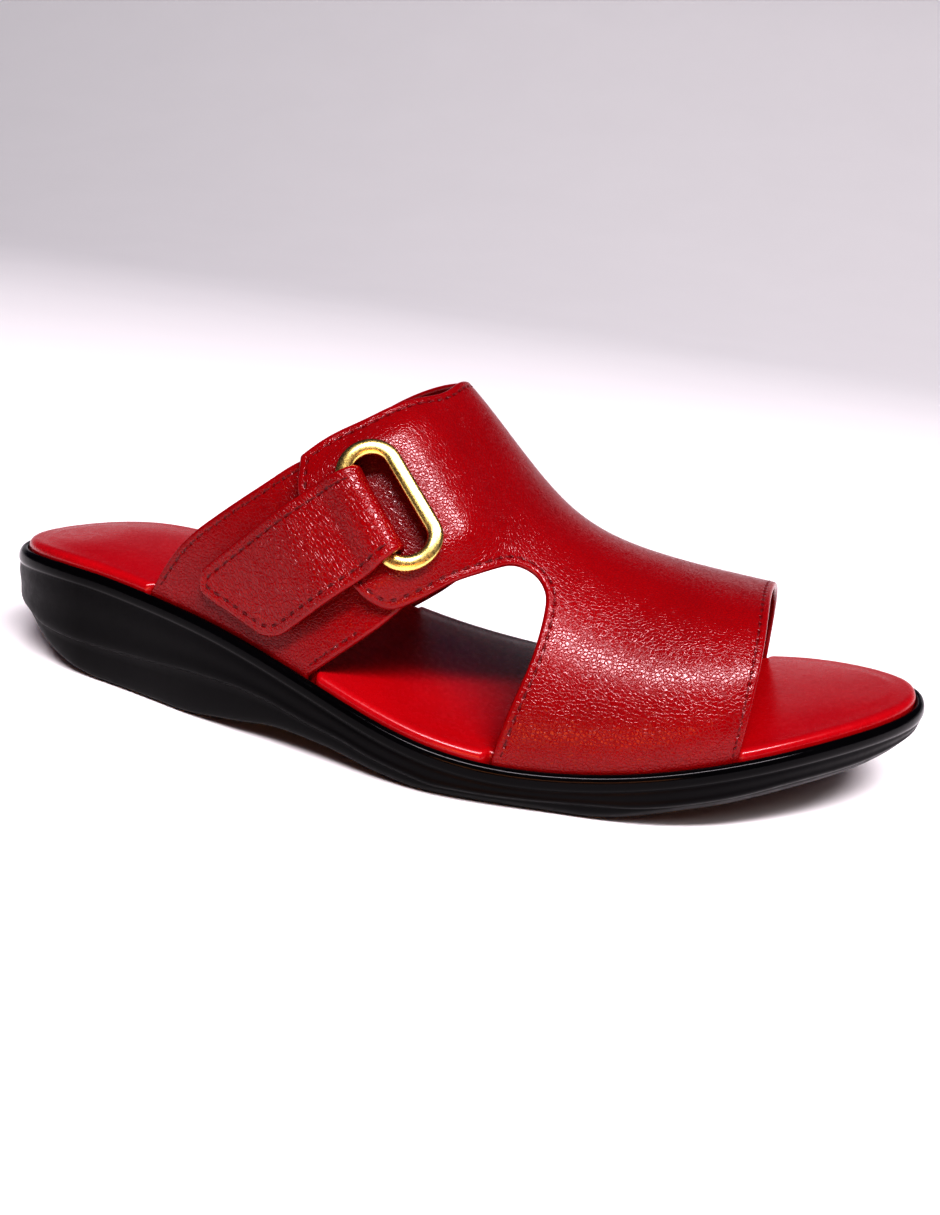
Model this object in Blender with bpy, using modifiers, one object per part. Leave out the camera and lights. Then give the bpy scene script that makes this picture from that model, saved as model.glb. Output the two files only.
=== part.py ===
"""Slip-on wedge sandal for the right foot.

Toe along +X, outer side along -Y, standing on z = 0 with the origin under the middle of the sole.
Everything is in metres. Shares of the length run from the back of the heel (0) to the toe (1);
shares of the girth run over the foot from the outer rim (-1) across the instep (0) to the inner
rim (+1).
"""
import math

import bmesh
import bpy
import numpy as np
from mathutils.geometry import delaunay_2d_cdt

# Driving sizes of the last
LENGTH = 0.252
BALL_WIDTH = 0.092
HEEL_SEAT = 0.030
INSTEP = 0.086

# Leather, footbed and ring
WALL = 0.0018
GAP = 0.0003
TAB_THICK = 0.0020
TAB_WIDTH = 0.0256
TAB_LENGTH = 0.0505
TAB_SLANT = 0.0100
TAB_CORNER = 0.0050
TAB_SHIFT = -0.0004
TAB_TIP_LIFT = 0.0008
TAB_ROOT = 0.0120
SLOT_SHARE = 0.89
TAB_NECK = 0.95
RING_LENGTH = 0.0345
RING_WIDTH = 0.0156
RING_BAND = 0.0039
RING_HEIGHT = 0.0022
SLOT_MARGIN = 0.0008
FLAP_RAMP = 0.0200
FLAP_REACH = 0.0020
FLAP_END = 0.0185
TAB_FADE = (0.0016, 0.0098)
INSOLE_CROWN = 0.0030
INSOLE_ROLL = 0.0022
INSOLE_SHOULDER = 0.0070

# Moulded sole
LIP_HEIGHT = 0.0040
LIP_TOP = 0.0024
RECESS = 0.0036
STEP_DEPTH = 0.0008
STEP_RISE = 0.0008
GROOVE_WIDTH = 0.0020
GROOVE_DEPTH = 0.0012
GROOVE_PITCH = 0.0070
GROOVE_MARGIN = 0.0095
GROOVE_RUNS = ((0.125, 0.300), (0.520, 0.800))

# Shape of the plan's two ends, as shares of the length, and how square each is
HEEL_CAP = 0.13
TOE_CAP = 0.30
HEEL_ROUND = 2.0
TOE_ROUND = 2.3

# Where the ring sits, and how steeply the tab runs down from it
RING_SEAT = (0.4615, -0.600)
TAB_AIM = math.radians(38.5)

# Where the flap's lift fades out: shares of the girth below the ridge, and of the length at the leg
LIFT_GIRTH = (0.15, 0.35)
LIFT_SHARE = (0.525, 0.600)

# Mesh steps
PLAN_STEPS = 44
LEATHER_STEP = 0.0052
GIRTH_STEP_SCALE = 0.080

# Plan: share of length, half width and centre line (+ is inner) as shares of the ball width
PLAN_WIDTH = (
    (0.00, 0.255), (0.12, 0.300), (0.28, 0.370), (0.42, 0.420),
    (0.56, 0.505), (0.70, 0.500), (0.84, 0.490), (1.00, 0.375),
)
PLAN_CENTRE = (
    (0.0, -0.115), (0.2, -0.100), (0.4, -0.140), (0.6, -0.065), (0.8, 0.040), (1.0, 0.190),
)

# Rim: share of length, height of the lip's top as a share of the heel seat
RIM = (
    (0.0, 0.900), (0.1, 1.000), (0.2, 0.975), (0.3, 0.900), (0.4, 0.710), (0.5, 0.480),
    (0.6, 0.350), (0.7, 0.390), (0.8, 0.575), (0.9, 0.770), (1.0, 0.910),
)

# Tread: share of length, height at the outer and the inner edge as shares of the heel seat
TREAD = (
    (0.04, 0.34, 0.34), (0.09, 0.12, 0.12), (0.13, 0.03, 0.03), (0.16, 0.0, 0.0),
    (0.26, 0.0, 0.0), (0.38, 0.09, 0.16), (0.50, 0.03, 0.05), (0.55, 0.0, 0.0),
    (0.69, 0.0, 0.0), (0.80, 0.19, 0.19), (0.88, 0.35, 0.35), (0.94, 0.45, 0.45),
    (1.00, 0.58, 0.58),
)

# Step line round the side: share of length, height over the tread as a share of the heel seat
STEP_LINE = (
    (0.00, 0.30), (0.10, 0.36), (0.20, 0.33), (0.30, 0.18), (0.40, 0.11), (0.60, 0.09),
    (1.00, 0.09),
)

# Instep sections: share of length, height as a share of the instep, ridge offset as a share of
# the ball width, squareness on the outer and the inner side
SECTIONS = (
    (0.140, 1.810, -0.035, 2.33, 2.27),
    (0.240, 1.440, -0.026, 2.33, 2.27),
    (0.357, 1.270, -0.014, 2.14, 2.11),
    (0.500, 1.000, 0.007, 1.95, 1.95),
    (0.595, 0.737, 0.017, 2.01, 2.15),
    (0.695, 0.625, 0.030, 2.06, 2.33),
    (0.840, 0.587, 0.050, 2.15, 2.60),
)

# Pattern edges: share of length, share of girth
FRONT_EDGE = ((0.828, -1.0), (0.829, -0.5), (0.825, 0.0), (0.831, 0.5), (0.835, 1.0))
INNER_CUT = (
    (0.603, 1.0), (0.607, 0.89), (0.611, 0.78), (0.613, 0.67), (0.611, 0.565), (0.603, 0.505),
    (0.586, 0.487), (0.564, 0.520), (0.539, 0.610), (0.505, 0.757), (0.464, 0.908), (0.425, 1.0),
)
COLLAR_EDGE = (
    (0.200, 1.0), (0.256, 0.850), (0.318, 0.703), (0.378, 0.540), (0.437, 0.317), (0.468, 0.120),
    (0.476, -0.050), (0.472, -0.167), (0.453, -0.296), (0.433, -0.396), (0.411, -0.485),
    (0.388, -0.557), (0.365, -0.631),
)
FLAP_EDGE = (
    (0.365, -0.631), (0.376, -0.700), (0.405, -0.752), (0.440, -0.780), (0.462, -0.790),
    (0.480, -0.785), (0.504, -0.734), (0.519, -0.686), (0.536, -0.621), (0.554, -0.554),
    (0.573, -0.475), (0.588, -0.425), (0.606, -0.411), (0.616, -0.435), (0.622, -0.497),
    (0.6235, -0.582), (0.622, -0.681), (0.616, -0.794), (0.610, -0.904), (0.606, -1.0),
)
SIDE_STRAP_EDGE = (
    (0.216, -1.0), (0.249, -0.895), (0.280, -0.827), (0.310, -0.764), (0.337, -0.703),
    (0.363, -0.640), (0.385, -0.597), (0.412, -0.545), (0.4425, -0.480), (0.470, -0.468),
    (0.497, -0.500), (0.515, -0.560), (0.519, -0.620), (0.508, -0.699), (0.482, -0.808),
    (0.448, -0.909), (0.413, -1.0),
)

# Notches in the insole's edge where the leather goes down: side (-1 outer, 1 inner), the two
# ends as shares of the length, and the ease past each end
NOTCHES = (
    (-1, 0.216, 0.413, 0.0012, 0.0032),
    (-1, 0.606, 0.828, 0.0012, 0.0012),
    (1, 0.200, 0.425, 0.0012, 0.0038),
    (1, 0.603, 0.835, 0.0012, 0.0012),
)
NOTCH_RAMP = 0.0015

# The side wall, from the tread up: inset at the side, at the back and at the toe
TREAD_INSET = (0.0060, 0.0160, 0.0085)
FOOT_INSET = (0.0026, 0.0095, 0.0042)
STEP_INSET = (0.0015, 0.0055, 0.0024)
BULGE_INSET = (0.0002, 0.0018, 0.0006)
FOOT_RISE = 0.0020

# The lip's section: inset, height under its top
LIP_SECTION = (
    (0.0010, 0.0040), (0.0002, 0.0033), (0.0, 0.0022), (0.0003, 0.0010), (0.0010, 0.0002),
    (0.0017, 0.0), (0.0023, 0.0003),
)

SEAT_INSET = LIP_TOP + GAP
LEG_DEPTH = RECESS - GAP
FLAP_STEP = WALL + GAP
TAB_ROOM = TAB_THICK + 2 * GAP


def spline(table, column, at):
    """Smooth curve through one column of a table."""
    xs = np.array([row[0] for row in table], float)
    ys = np.array([row[column] for row in table], float)
    step = np.diff(xs)
    count = len(xs)
    matrix = np.eye(count)
    right = np.zeros(count)
    for i in range(1, count - 1):
        matrix[i, i - 1:i + 2] = (step[i - 1], 2 * (step[i - 1] + step[i]), step[i])
        right[i] = 6 * ((ys[i + 1] - ys[i]) / step[i] - (ys[i] - ys[i - 1]) / step[i - 1])
    bend = np.linalg.solve(matrix, right)
    at = np.asarray(at, float)
    i = np.clip(np.searchsorted(xs, at) - 1, 0, count - 2)
    t = at - xs[i]
    slope = (ys[i + 1] - ys[i]) / step[i] - step[i] * (2 * bend[i] + bend[i + 1]) / 6
    return ys[i] + t * slope + t * t * bend[i] / 2 + t ** 3 * (bend[i + 1] - bend[i]) / (6 * step[i])


def steady(table, column, at):
    """Curve through one column that stays flat between equal rows."""
    xs = np.array([row[0] for row in table], float)
    ys = np.array([row[column] for row in table], float)
    rate = np.diff(ys) / np.diff(xs)
    slope = np.zeros(len(xs))
    same_way = rate[:-1] * rate[1:] > 0
    joined = 2 * rate[:-1] * rate[1:] / np.where(same_way, rate[:-1] + rate[1:], 1.0)
    slope[1:-1] = np.where(same_way, joined, 0.0)
    slope[0] = rate[0]
    slope[-1] = rate[-1]
    at = np.clip(np.asarray(at, float), xs[0], xs[-1])
    i = np.clip(np.searchsorted(xs, at) - 1, 0, len(xs) - 2)
    width = xs[i + 1] - xs[i]
    t = (at - xs[i]) / width
    start = ys[i] * (1 + 2 * t) * (1 - t) ** 2 + slope[i] * width * t * (1 - t) ** 2
    end = ys[i + 1] * t * t * (3 - 2 * t) - slope[i + 1] * width * t * t * (1 - t)
    return start + end


def ease(low, high, value):
    """0 below low, 1 above high, smooth between."""
    t = np.clip((value - low) / (high - low), 0.0, 1.0)
    return t * t * (3 - 2 * t)


def plan(share):
    """Half width and centre line of the sole's plan."""
    share = np.asarray(share, float)
    half = spline(PLAN_WIDTH, 1, share) * BALL_WIDTH
    centre = spline(PLAN_CENTRE, 1, share) * BALL_WIDTH
    back = np.clip(1 - share / HEEL_CAP, 0, 1)
    front = np.clip(1 - (1 - share) / TOE_CAP, 0, 1)
    half = half * np.clip(1 - back ** HEEL_ROUND, 0, 1) ** (1 / HEEL_ROUND)
    half = half * np.clip(1 - front ** TOE_ROUND, 0, 1) ** (1 / TOE_ROUND)
    return half, centre


def seat(share):
    """Half width and centre line of the groove in which the leather stands."""
    small = 1e-4
    half, centre = plan(share)
    half_on, centre_on = plan(share + small)
    half_back, centre_back = plan(share - small)
    outer_slope = ((centre_on - half_on) - (centre_back - half_back)) / (2 * small * LENGTH)
    inner_slope = ((centre_on + half_on) - (centre_back + half_back)) / (2 * small * LENGTH)
    outer = centre - half + SEAT_INSET * np.sqrt(1 + outer_slope ** 2)
    inner = centre + half - SEAT_INSET * np.sqrt(1 + inner_slope ** 2)
    return (inner - outer) / 2, (inner + outer) / 2


def rim_height(share):
    """Height of the lip's top."""
    return spline(RIM, 1, share) * HEEL_SEAT


def last(share, girth):
    """Point on the outer face of the leather, with the part below the rim going straight down."""
    share = np.asarray(share, float)
    girth = np.asarray(girth, float)
    around = np.clip(girth, -1, 1)
    half, centre = seat(share)
    rim = rim_height(share)
    top = spline(SECTIONS, 1, share) * INSTEP
    ridge = spline(SECTIONS, 2, share) * BALL_WIDTH
    stations = [row[0] for row in SECTIONS]
    outer = np.interp(share, stations, [row[3] for row in SECTIONS])
    inner = np.interp(share, stations, [row[4] for row in SECTIONS])
    square = np.where(around < 0, outer, inner)
    sine = np.abs(np.sin(around * math.pi / 2))
    cosine = np.clip(np.cos(around * math.pi / 2), 0, 1)
    reach = (sine ** square + cosine ** square) ** (-1 / square)
    side = np.sign(around) * sine * reach
    up = cosine * reach
    below = (np.abs(girth) - np.abs(around)) * GIRTH_STEP_SCALE
    return np.stack([
        share * LENGTH,
        centre + half * side + (ridge - centre) * up,
        rim + (top - rim) * up - below,
    ], -1)


def outward(share, girth):
    """Unit normal of the last's surface."""
    small = 1e-4
    girth = np.clip(girth, -1 + small, 1 - small)
    along = last(share + small, girth) - last(share - small, girth)
    across = last(share, girth + small) - last(share, girth - small)
    normal = np.cross(along, across)
    return normal / np.linalg.norm(normal, axis=-1, keepdims=True)


class RingFrame:
    """Flat frame at the ring: back along the tab, and down across it."""

    def __init__(self):
        share, girth = RING_SEAT
        self.seat = last(share, girth)
        self.normal = outward(share, girth)
        level = np.cross(self.normal, (0.0, 0.0, 1.0))
        level /= np.linalg.norm(level)
        down = np.cross(self.normal, level)
        self.back = level * math.cos(TAB_AIM) + down * math.sin(TAB_AIM)
        self.across = down * math.cos(TAB_AIM) - level * math.sin(TAB_AIM)

    def flat(self, share, girth):
        """Back and across measures of a point of the last."""
        offset = last(share, girth) - self.seat
        return offset @ self.back, offset @ self.across

    def find(self, back, across):
        """Shares of length and girth of the point with these measures."""
        share = np.full(np.shape(back), RING_SEAT[0])
        girth = np.full(np.shape(back), RING_SEAT[1])
        small = 1e-4
        for _ in range(12):
            b, a = self.flat(share, girth)
            b_share, a_share = self.flat(share + small, girth)
            b_girth, a_girth = self.flat(share, girth + small)
            b_share = (b_share - b) / small
            a_share = (a_share - a) / small
            b_girth = (b_girth - b) / small
            a_girth = (a_girth - a) / small
            det = b_share * a_girth - b_girth * a_share
            share = share + ((back - b) * a_girth - (across - a) * b_girth) / det
            girth = girth + ((across - a) * b_share - (back - b) * a_share) / det
            girth = np.clip(girth, -0.995, 0.0)
        return share, girth


RING_FRAME = RingFrame()


def flap_lift(share, girth):
    """How far the flap stands off the last: over the side strap, and more over the tab's root."""
    back, across = RING_FRAME.flat(share, girth)
    reach = RING_WIDTH / 2
    outer_side = ease(*LIFT_GIRTH, -np.asarray(girth, float)) * (1 - ease(*LIFT_SHARE, share))
    over_strap = ease(-reach - FLAP_REACH - FLAP_RAMP, -reach - FLAP_REACH, back)
    side = np.abs(across - TAB_SHIFT) - TAB_WIDTH / 2
    over_tab = over_strap * (1 - ease(*TAB_FADE, side))
    return outer_side * (FLAP_STEP * over_strap + TAB_ROOM * over_tab)


def plan_loop(stations):
    """Closed outline of the plan, its outward normals, and the share and side of each point."""
    half, centre = plan(stations)
    share = np.concatenate([stations, stations[-2:0:-1]])
    side = np.concatenate([-np.ones(len(stations)), np.ones(len(stations) - 2)])
    y = np.concatenate([centre - half, (centre + half)[-2:0:-1]])
    points = np.stack([share * LENGTH, y], -1)
    tangent = np.roll(points, -1, 0) - np.roll(points, 1, 0)
    normal = np.stack([tangent[:, 1], -tangent[:, 0]], -1)
    normal /= np.linalg.norm(normal, axis=1, keepdims=True)
    return points, normal, share, side


def end_mix(values, normal):
    """Blend a measure between the side, the back and the toe by the way the outline faces."""
    side, back, toe = values
    at_back = np.clip(-normal[:, 0], 0, 1) ** 1.5
    at_toe = np.clip(normal[:, 0], 0, 1) ** 1.5
    return side + (back - side) * at_back + (toe - side) * at_toe


def stack_solid(name, loops, colour, rough):
    """Solid from closed loops stacked from the bottom up, each end closed across its width."""
    count = len(loops[0])
    verts = [tuple(p) for loop in loops for p in loop]
    faces = []
    for k in range(len(loops) - 1):
        low = k * count
        high = low + count
        for i in range(count):
            j = (i + 1) % count
            faces.append((low + i, low + j, high + j, high + i))
    last_loop = (len(loops) - 1) * count
    half = count // 2
    for base, top in ((0, False), (last_loop, True)):
        for i in range(half):
            ring = [i, i + 1, (count - i - 1) % count, (count - i) % count]
            ring = list(dict.fromkeys(ring))
            ring = [base + k for k in ring]
            faces.append(tuple(ring) if top else tuple(reversed(ring)))
    return make_object(name, verts, faces, colour, rough)


def make_object(name, verts, faces, colour, rough, metallic=0.0):
    """Mesh object in the sandal's collection, shifted so that its origin is under the middle."""
    mesh = bpy.data.meshes.new(name)
    shifted = [(x - LENGTH / 2, y - MIDDLE, z) for x, y, z in verts]
    mesh.from_pydata(shifted, [], faces)
    mesh.shade_smooth()
    mesh.set_sharp_from_angle(angle=math.radians(38))
    obj = bpy.data.objects.new(name, mesh)
    material = bpy.data.materials.new(name)
    material.use_nodes = True
    shader = material.node_tree.nodes["Principled BSDF"]
    shader.inputs["Base Color"].default_value = (*colour, 1.0)
    shader.inputs["Roughness"].default_value = rough
    shader.inputs["Metallic"].default_value = metallic
    mesh.materials.append(material)
    PARTS.objects.link(obj)
    return obj


def stations_with_notches():
    """Stations along the sole, closer at the ends, with the notches' corners among them."""
    even = (1 - np.cos(np.linspace(0, math.pi, PLAN_STEPS + 1))) / 2
    extra = []
    for _, start, end, before, after in NOTCHES:
        extra += [start - (before + NOTCH_RAMP) / LENGTH, start - before / LENGTH]
        extra += [end + after / LENGTH, end + (after + NOTCH_RAMP) / LENGTH]
    near = np.min(np.abs(even[:, None] - np.array(extra)[None]), axis=1)
    kept = even[near > 0.006]
    merged = np.sort(np.concatenate([kept, extra]))
    apart = np.concatenate([[True], np.diff(merged) > 0.0015])
    return merged[apart]


def insole_edge(share, side):
    """Inset of the insole's edge: deeper where a leg of the upper passes."""
    inset = np.full(len(share), LIP_TOP + GAP)
    for notch_side, start, end, before, after in NOTCHES:
        x = share * LENGTH
        low = start * LENGTH - before
        high = end * LENGTH + after
        inside = np.clip((x - low + NOTCH_RAMP) / NOTCH_RAMP, 0, 1)
        inside = inside * np.clip((high + NOTCH_RAMP - x) / NOTCH_RAMP, 0, 1)
        inset = inset + (WALL + GAP) * inside * (side == notch_side)
    return inset


def make_sole():
    """One moulded unit: tread, side with its step line, lip, and the seat for the insole."""
    stations = (1 - np.cos(np.linspace(0, math.pi, PLAN_STEPS + 1))) / 2
    points, normal, share, side = plan_loop(stations)

    def loop(inset, height):
        flat = points - normal * np.asarray(inset).reshape(-1, 1)
        z = height(np.clip(flat[:, 0] / LENGTH, 0, 1))
        return np.column_stack([flat, z])

    def tread(s):
        outer = steady(TREAD, 1, s) * HEEL_SEAT
        inner = steady(TREAD, 2, s) * HEEL_SEAT
        return np.where(side < 0, outer, inner)

    def step(s):
        return tread(s) + steady(STEP_LINE, 1, s) * HEEL_SEAT

    def under_lip(s):
        return rim_height(s) - LIP_HEIGHT

    tread_inset = end_mix(TREAD_INSET, normal)
    foot_inset = end_mix(FOOT_INSET, normal)
    step_inset = end_mix(STEP_INSET, normal)
    bulge_inset = end_mix(BULGE_INSET, normal)
    upper_step = step_inset - STEP_DEPTH
    loops = [
        loop(tread_inset, tread),
        loop((tread_inset + foot_inset) / 2, lambda s: tread(s) + FOOT_RISE * 0.3),
        loop(foot_inset, lambda s: tread(s) + FOOT_RISE),
        loop(step_inset, step),
        loop(upper_step, lambda s: step(s) + STEP_RISE),
        loop((upper_step + bulge_inset) / 2,
             lambda s: 0.65 * (step(s) + STEP_RISE) + 0.35 * under_lip(s)),
        loop(bulge_inset, lambda s: 0.3 * (step(s) + STEP_RISE) + 0.7 * under_lip(s)),
    ]
    for inset, down in LIP_SECTION:
        loops.append(loop(np.full(len(points), inset), lambda s, d=down: rim_height(s) - d))
    loops.append(loop(np.full(len(points), LIP_TOP), lambda s: rim_height(s) - RECESS))
    sole = stack_solid("sole", loops, (0.012, 0.012, 0.014), 0.28)
    cut_tread(sole)
    return sole


def cut_tread(sole):
    """Cross grooves under the heel and the forefoot."""
    boxes = bmesh.new()
    for start, end in GROOVE_RUNS:
        x = start * LENGTH
        while x < end * LENGTH:
            half, centre = plan(x / LENGTH)
            floor = float(steady(TREAD, 2, x / LENGTH)) * HEEL_SEAT + GROOVE_DEPTH
            low_edge = float(steady(TREAD, 1, x / LENGTH)) * HEEL_SEAT
            depth = floor - low_edge + 0.004
            made = bmesh.ops.create_cube(boxes, size=1.0)["verts"]
            size = (GROOVE_WIDTH, 2 * (float(half) - GROOVE_MARGIN), depth)
            bmesh.ops.scale(boxes, vec=size, verts=made)
            place = (x - LENGTH / 2, float(centre) - MIDDLE, floor - depth / 2)
            bmesh.ops.translate(boxes, vec=place, verts=made)
            x += GROOVE_PITCH
    mesh = bpy.data.meshes.new("tread_cutter")
    boxes.to_mesh(mesh)
    boxes.free()
    cutter = bpy.data.objects.new("tread_cutter", mesh)
    cutter.hide_render = True
    cutter.display_type = "WIRE"
    CUTTERS.objects.link(cutter)
    cut = sole.modifiers.new("tread", "BOOLEAN")
    cut.operation = "DIFFERENCE"
    cut.object = cutter


def make_insole():
    """Footbed with a rolled edge and a low crown, notched for the legs of the upper."""
    points, normal, share, side = plan_loop(stations_with_notches())
    edge = insole_edge(share, side)
    floor = -RECESS + GAP
    section = (
        (0.0, floor), (0.0, INSOLE_ROLL * 0.35), (INSOLE_ROLL * 0.27, INSOLE_ROLL * 0.75),
        (INSOLE_ROLL * 0.82, INSOLE_ROLL),
        (INSOLE_SHOULDER, INSOLE_ROLL + 0.4 * (INSOLE_CROWN - INSOLE_ROLL)),
    )
    loops = []
    for inset, up in section:
        flat = points - normal * (edge + inset).reshape(-1, 1)
        loops.append(np.column_stack([flat, rim_height(flat[:, 0] / LENGTH) + up]))
    centre = plan(share)[1]
    inner = loops[-1].copy()
    inner[:, 1] = centre + (inner[:, 1] - centre) * 0.5
    inner[:, 2] = rim_height(inner[:, 0] / LENGTH) + INSOLE_CROWN
    loops.append(inner)
    return stack_solid("insole", loops, (0.55, 0.008, 0.02), 0.35)


def drawn(edge, step):
    """Points along a smooth line through an edge's rows, about one step apart."""
    rows = np.array(edge, float) * (LENGTH, GIRTH_STEP_SCALE)
    run = np.concatenate([[0], np.cumsum(np.linalg.norm(np.diff(rows, axis=0), axis=1))])
    count = max(2, int(round(run[-1] / step)) + 1)
    at = np.linspace(0, run[-1], count)
    table = [(r, *row) for r, row in zip(run, rows)]
    return np.column_stack([spline(table, 1, at), spline(table, 2, at)])


def inside(points, outline):
    """True for each point that lies inside a closed outline."""
    x = points[:, :1]
    y = points[:, 1:]
    x0 = outline[:, 0][None]
    y0 = outline[:, 1][None]
    x1 = np.roll(x0, -1)
    y1 = np.roll(y0, -1)
    crosses = (y0 > y) != (y1 > y)
    rise = np.where(y1 == y0, 1.0, y1 - y0)
    left = x < (x1 - x0) * (y - y0) / rise + x0
    return (crosses & left).sum(1) % 2 == 1


def leather(name, outline, holes, lift, colour):
    """Panel cut to an outline in the flat, laid on the last and given its wall."""
    low = outline.min(0)
    high = outline.max(0)
    grid = []
    row = 0
    y = low[1]
    while y < high[1]:
        x = low[0] + (row % 2) * LEATHER_STEP / 2
        while x < high[0]:
            grid.append((x, y))
            x += LEATHER_STEP
        y += LEATHER_STEP * 0.87
        row += 1
    grid = np.array(grid)
    borders = [outline] + holes
    rim = np.concatenate(borders)
    kept = inside(grid, outline)
    for hole in holes:
        kept &= ~inside(grid, hole)
    distance = np.linalg.norm(grid[:, None] - rim[None], axis=2).min(1)
    grid = grid[kept & (distance > LEATHER_STEP * 0.6)]
    points = np.concatenate([rim, grid])
    edges = []
    start = 0
    for border in borders:
        count = len(border)
        edges += [(start + i, start + (i + 1) % count) for i in range(count)]
        start += count
    flat, _, triangles, _, _, _ = delaunay_2d_cdt([tuple(p) for p in points], edges, [], 0, 1e-7)
    flat = np.array([tuple(p) for p in flat])
    triangles = np.array([tuple(t) for t in triangles])
    middle = flat[triangles].mean(1)
    kept = inside(middle, outline)
    for hole in holes:
        kept &= ~inside(middle, hole)
    share = flat[:, 0] / LENGTH
    girth = flat[:, 1] / GIRTH_STEP_SCALE
    placed = last(share, girth) + outward(share, girth) * lift(share, girth)[:, None]
    faces = [tuple(int(i) for i in t) for t in triangles[kept]]
    panel = make_object(name, placed, faces, colour, 0.38)
    wall = panel.modifiers.new("wall", "SOLIDIFY")
    wall.thickness = WALL
    wall.offset = -1.0
    wall.use_even_offset = True
    wall.use_quality_normals = True
    return panel


def tuck(share, girth):
    """Point of a leg's end, down in the groove beside the insole."""
    down = 1 + LEG_DEPTH / GIRTH_STEP_SCALE
    return np.array([[share * LENGTH, math.copysign(down, girth) * GIRTH_STEP_SCALE]])


def leg_end(start, end, side):
    """Points along the end of a leg, from one share of the length to the other."""
    count = max(2, int(round(abs(end - start) * LENGTH / LEATHER_STEP)) + 1)
    return np.concatenate([tuck(s, side) for s in np.linspace(start, end, count)])


def slot_outline():
    """The flap's slot, inside the ring, drawn in the flat."""
    radius = RING_WIDTH / 2 - RING_BAND + SLOT_MARGIN
    straight = (RING_LENGTH - RING_WIDTH) / 2
    points = []
    for end in (1, -1):
        for i in range(7):
            angle = math.pi * i / 6
            across = straight + radius * math.sin(angle)
            points.append((radius * math.cos(angle) * end, across * end))
    back = np.array([p[0] for p in points])
    across = np.array([p[1] for p in points])
    share, girth = RING_FRAME.find(back, across)
    return np.column_stack([share * LENGTH, girth * GIRTH_STEP_SCALE])


def make_upper():
    """Vamp, instep, inner leg and slotted flap in one wall."""
    step = LEATHER_STEP
    outline = np.concatenate([
        drawn(FRONT_EDGE, step),
        leg_end(FRONT_EDGE[-1][0], INNER_CUT[0][0], 1),
        drawn(INNER_CUT, step * 0.8),
        leg_end(INNER_CUT[-1][0], COLLAR_EDGE[0][0], 1),
        drawn(COLLAR_EDGE, step)[:-1],
        drawn(FLAP_EDGE, step * 0.7),
        leg_end(FLAP_EDGE[-1][0], FRONT_EDGE[0][0], -1),
    ])
    return leather("upper", outline, [slot_outline()], flap_lift, (0.48, 0.006, 0.012))


def make_side_strap():
    """Strap from the outer side of the heel, up under the flap to just past the ring."""
    outline = np.concatenate([
        drawn(SIDE_STRAP_EDGE, LEATHER_STEP * 0.8)[::-1],
        leg_end(SIDE_STRAP_EDGE[0][0], SIDE_STRAP_EDGE[-1][0], -1),
    ])
    return leather("side_strap", outline, [], lambda s, g: np.zeros(len(s)), (0.42, 0.005, 0.01))


def on_frame(back, across, height):
    """Points over the last at back and across measures, raised along the surface's normal."""
    share, girth = RING_FRAME.find(back, across)
    return last(share, girth) + outward(share, girth) * np.asarray(height)[..., None]


def make_ring():
    """Long rounded ring round the slot."""
    radius = (RING_WIDTH - RING_BAND) / 2
    straight = (RING_LENGTH - RING_WIDTH) / 2
    path = []
    for end in (1, -1):
        for i in range(11):
            angle = math.pi * i / 10
            across = straight + radius * math.sin(angle)
            path.append((radius * math.cos(angle) * end, across * end))
        for i in (1, 2, 3):
            path.append((-radius * end, straight * (1 - i / 2) * end))
    back = np.array([p[0] for p in path])
    across = np.array([p[1] for p in path])
    share, girth = RING_FRAME.find(back, across)
    normal = outward(share, girth)
    height = flap_lift(share, girth) + GAP + RING_HEIGHT / 2
    centre = last(share, girth) + normal * height[:, None]
    tangent = np.roll(centre, -1, 0) - np.roll(centre, 1, 0)
    tangent /= np.linalg.norm(tangent, axis=1, keepdims=True)
    sideways = np.cross(normal, tangent)
    sideways /= np.linalg.norm(sideways, axis=1, keepdims=True)
    count = 12
    verts = []
    for c, n, s in zip(centre, normal, sideways):
        for k in range(count):
            angle = 2 * math.pi * k / count
            flat = s * RING_BAND / 2 * math.cos(angle)
            tall = n * RING_HEIGHT / 2 * math.sin(angle)
            verts.append(tuple(c + flat + tall))
    faces = []
    total = len(centre)
    for i in range(total):
        j = (i + 1) % total
        for k in range(count):
            m = (k + 1) % count
            faces.append((i * count + k, i * count + m, j * count + m, j * count + k))
    return make_object("ring", verts, faces, (0.80, 0.62, 0.25), 0.18, 1.0)


def slot_edge(across):
    """Back measure of the ring's inner edge, at measures across it."""
    radius = RING_WIDTH / 2 - RING_BAND
    past = np.clip(np.abs(across) - (RING_LENGTH - RING_WIDTH) / 2, 0, radius)
    return np.sqrt(radius ** 2 - past ** 2)


def tab_path():
    """The tab from its root to its tip: back measure, height over the last, share of its width."""
    root = GAP + TAB_THICK / 2
    flap_top = FLAP_STEP + TAB_ROOM
    on_flap = flap_top + GAP + TAB_THICK / 2
    over_bar = on_flap + RING_HEIGHT + 2 * GAP
    rise_at = RING_WIDTH / 2 - RING_BAND - 2 * GAP - TAB_THICK / 2
    bar = (RING_WIDTH - RING_BAND) / 2
    return (
        (TAB_ROOT, root, 0.84), (bar, root, 0.86), (rise_at + 0.0011, root + 0.0001, SLOT_SHARE),
        (rise_at + 0.0002, root + 0.0011, SLOT_SHARE), (rise_at, root + 0.0028, SLOT_SHARE),
        (rise_at, over_bar - 0.0022, SLOT_SHARE), (rise_at + 0.0004, over_bar - 0.0009, 0.90),
        (rise_at + 0.0016, over_bar, 0.92), (bar + 0.0012, over_bar, 0.96),
        (bar + RING_BAND / 2 + 0.0010, over_bar - 0.0010, 0.99),
        (bar + RING_BAND / 2 + 0.0038, on_flap + 0.0001, 1.0),
    )


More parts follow.
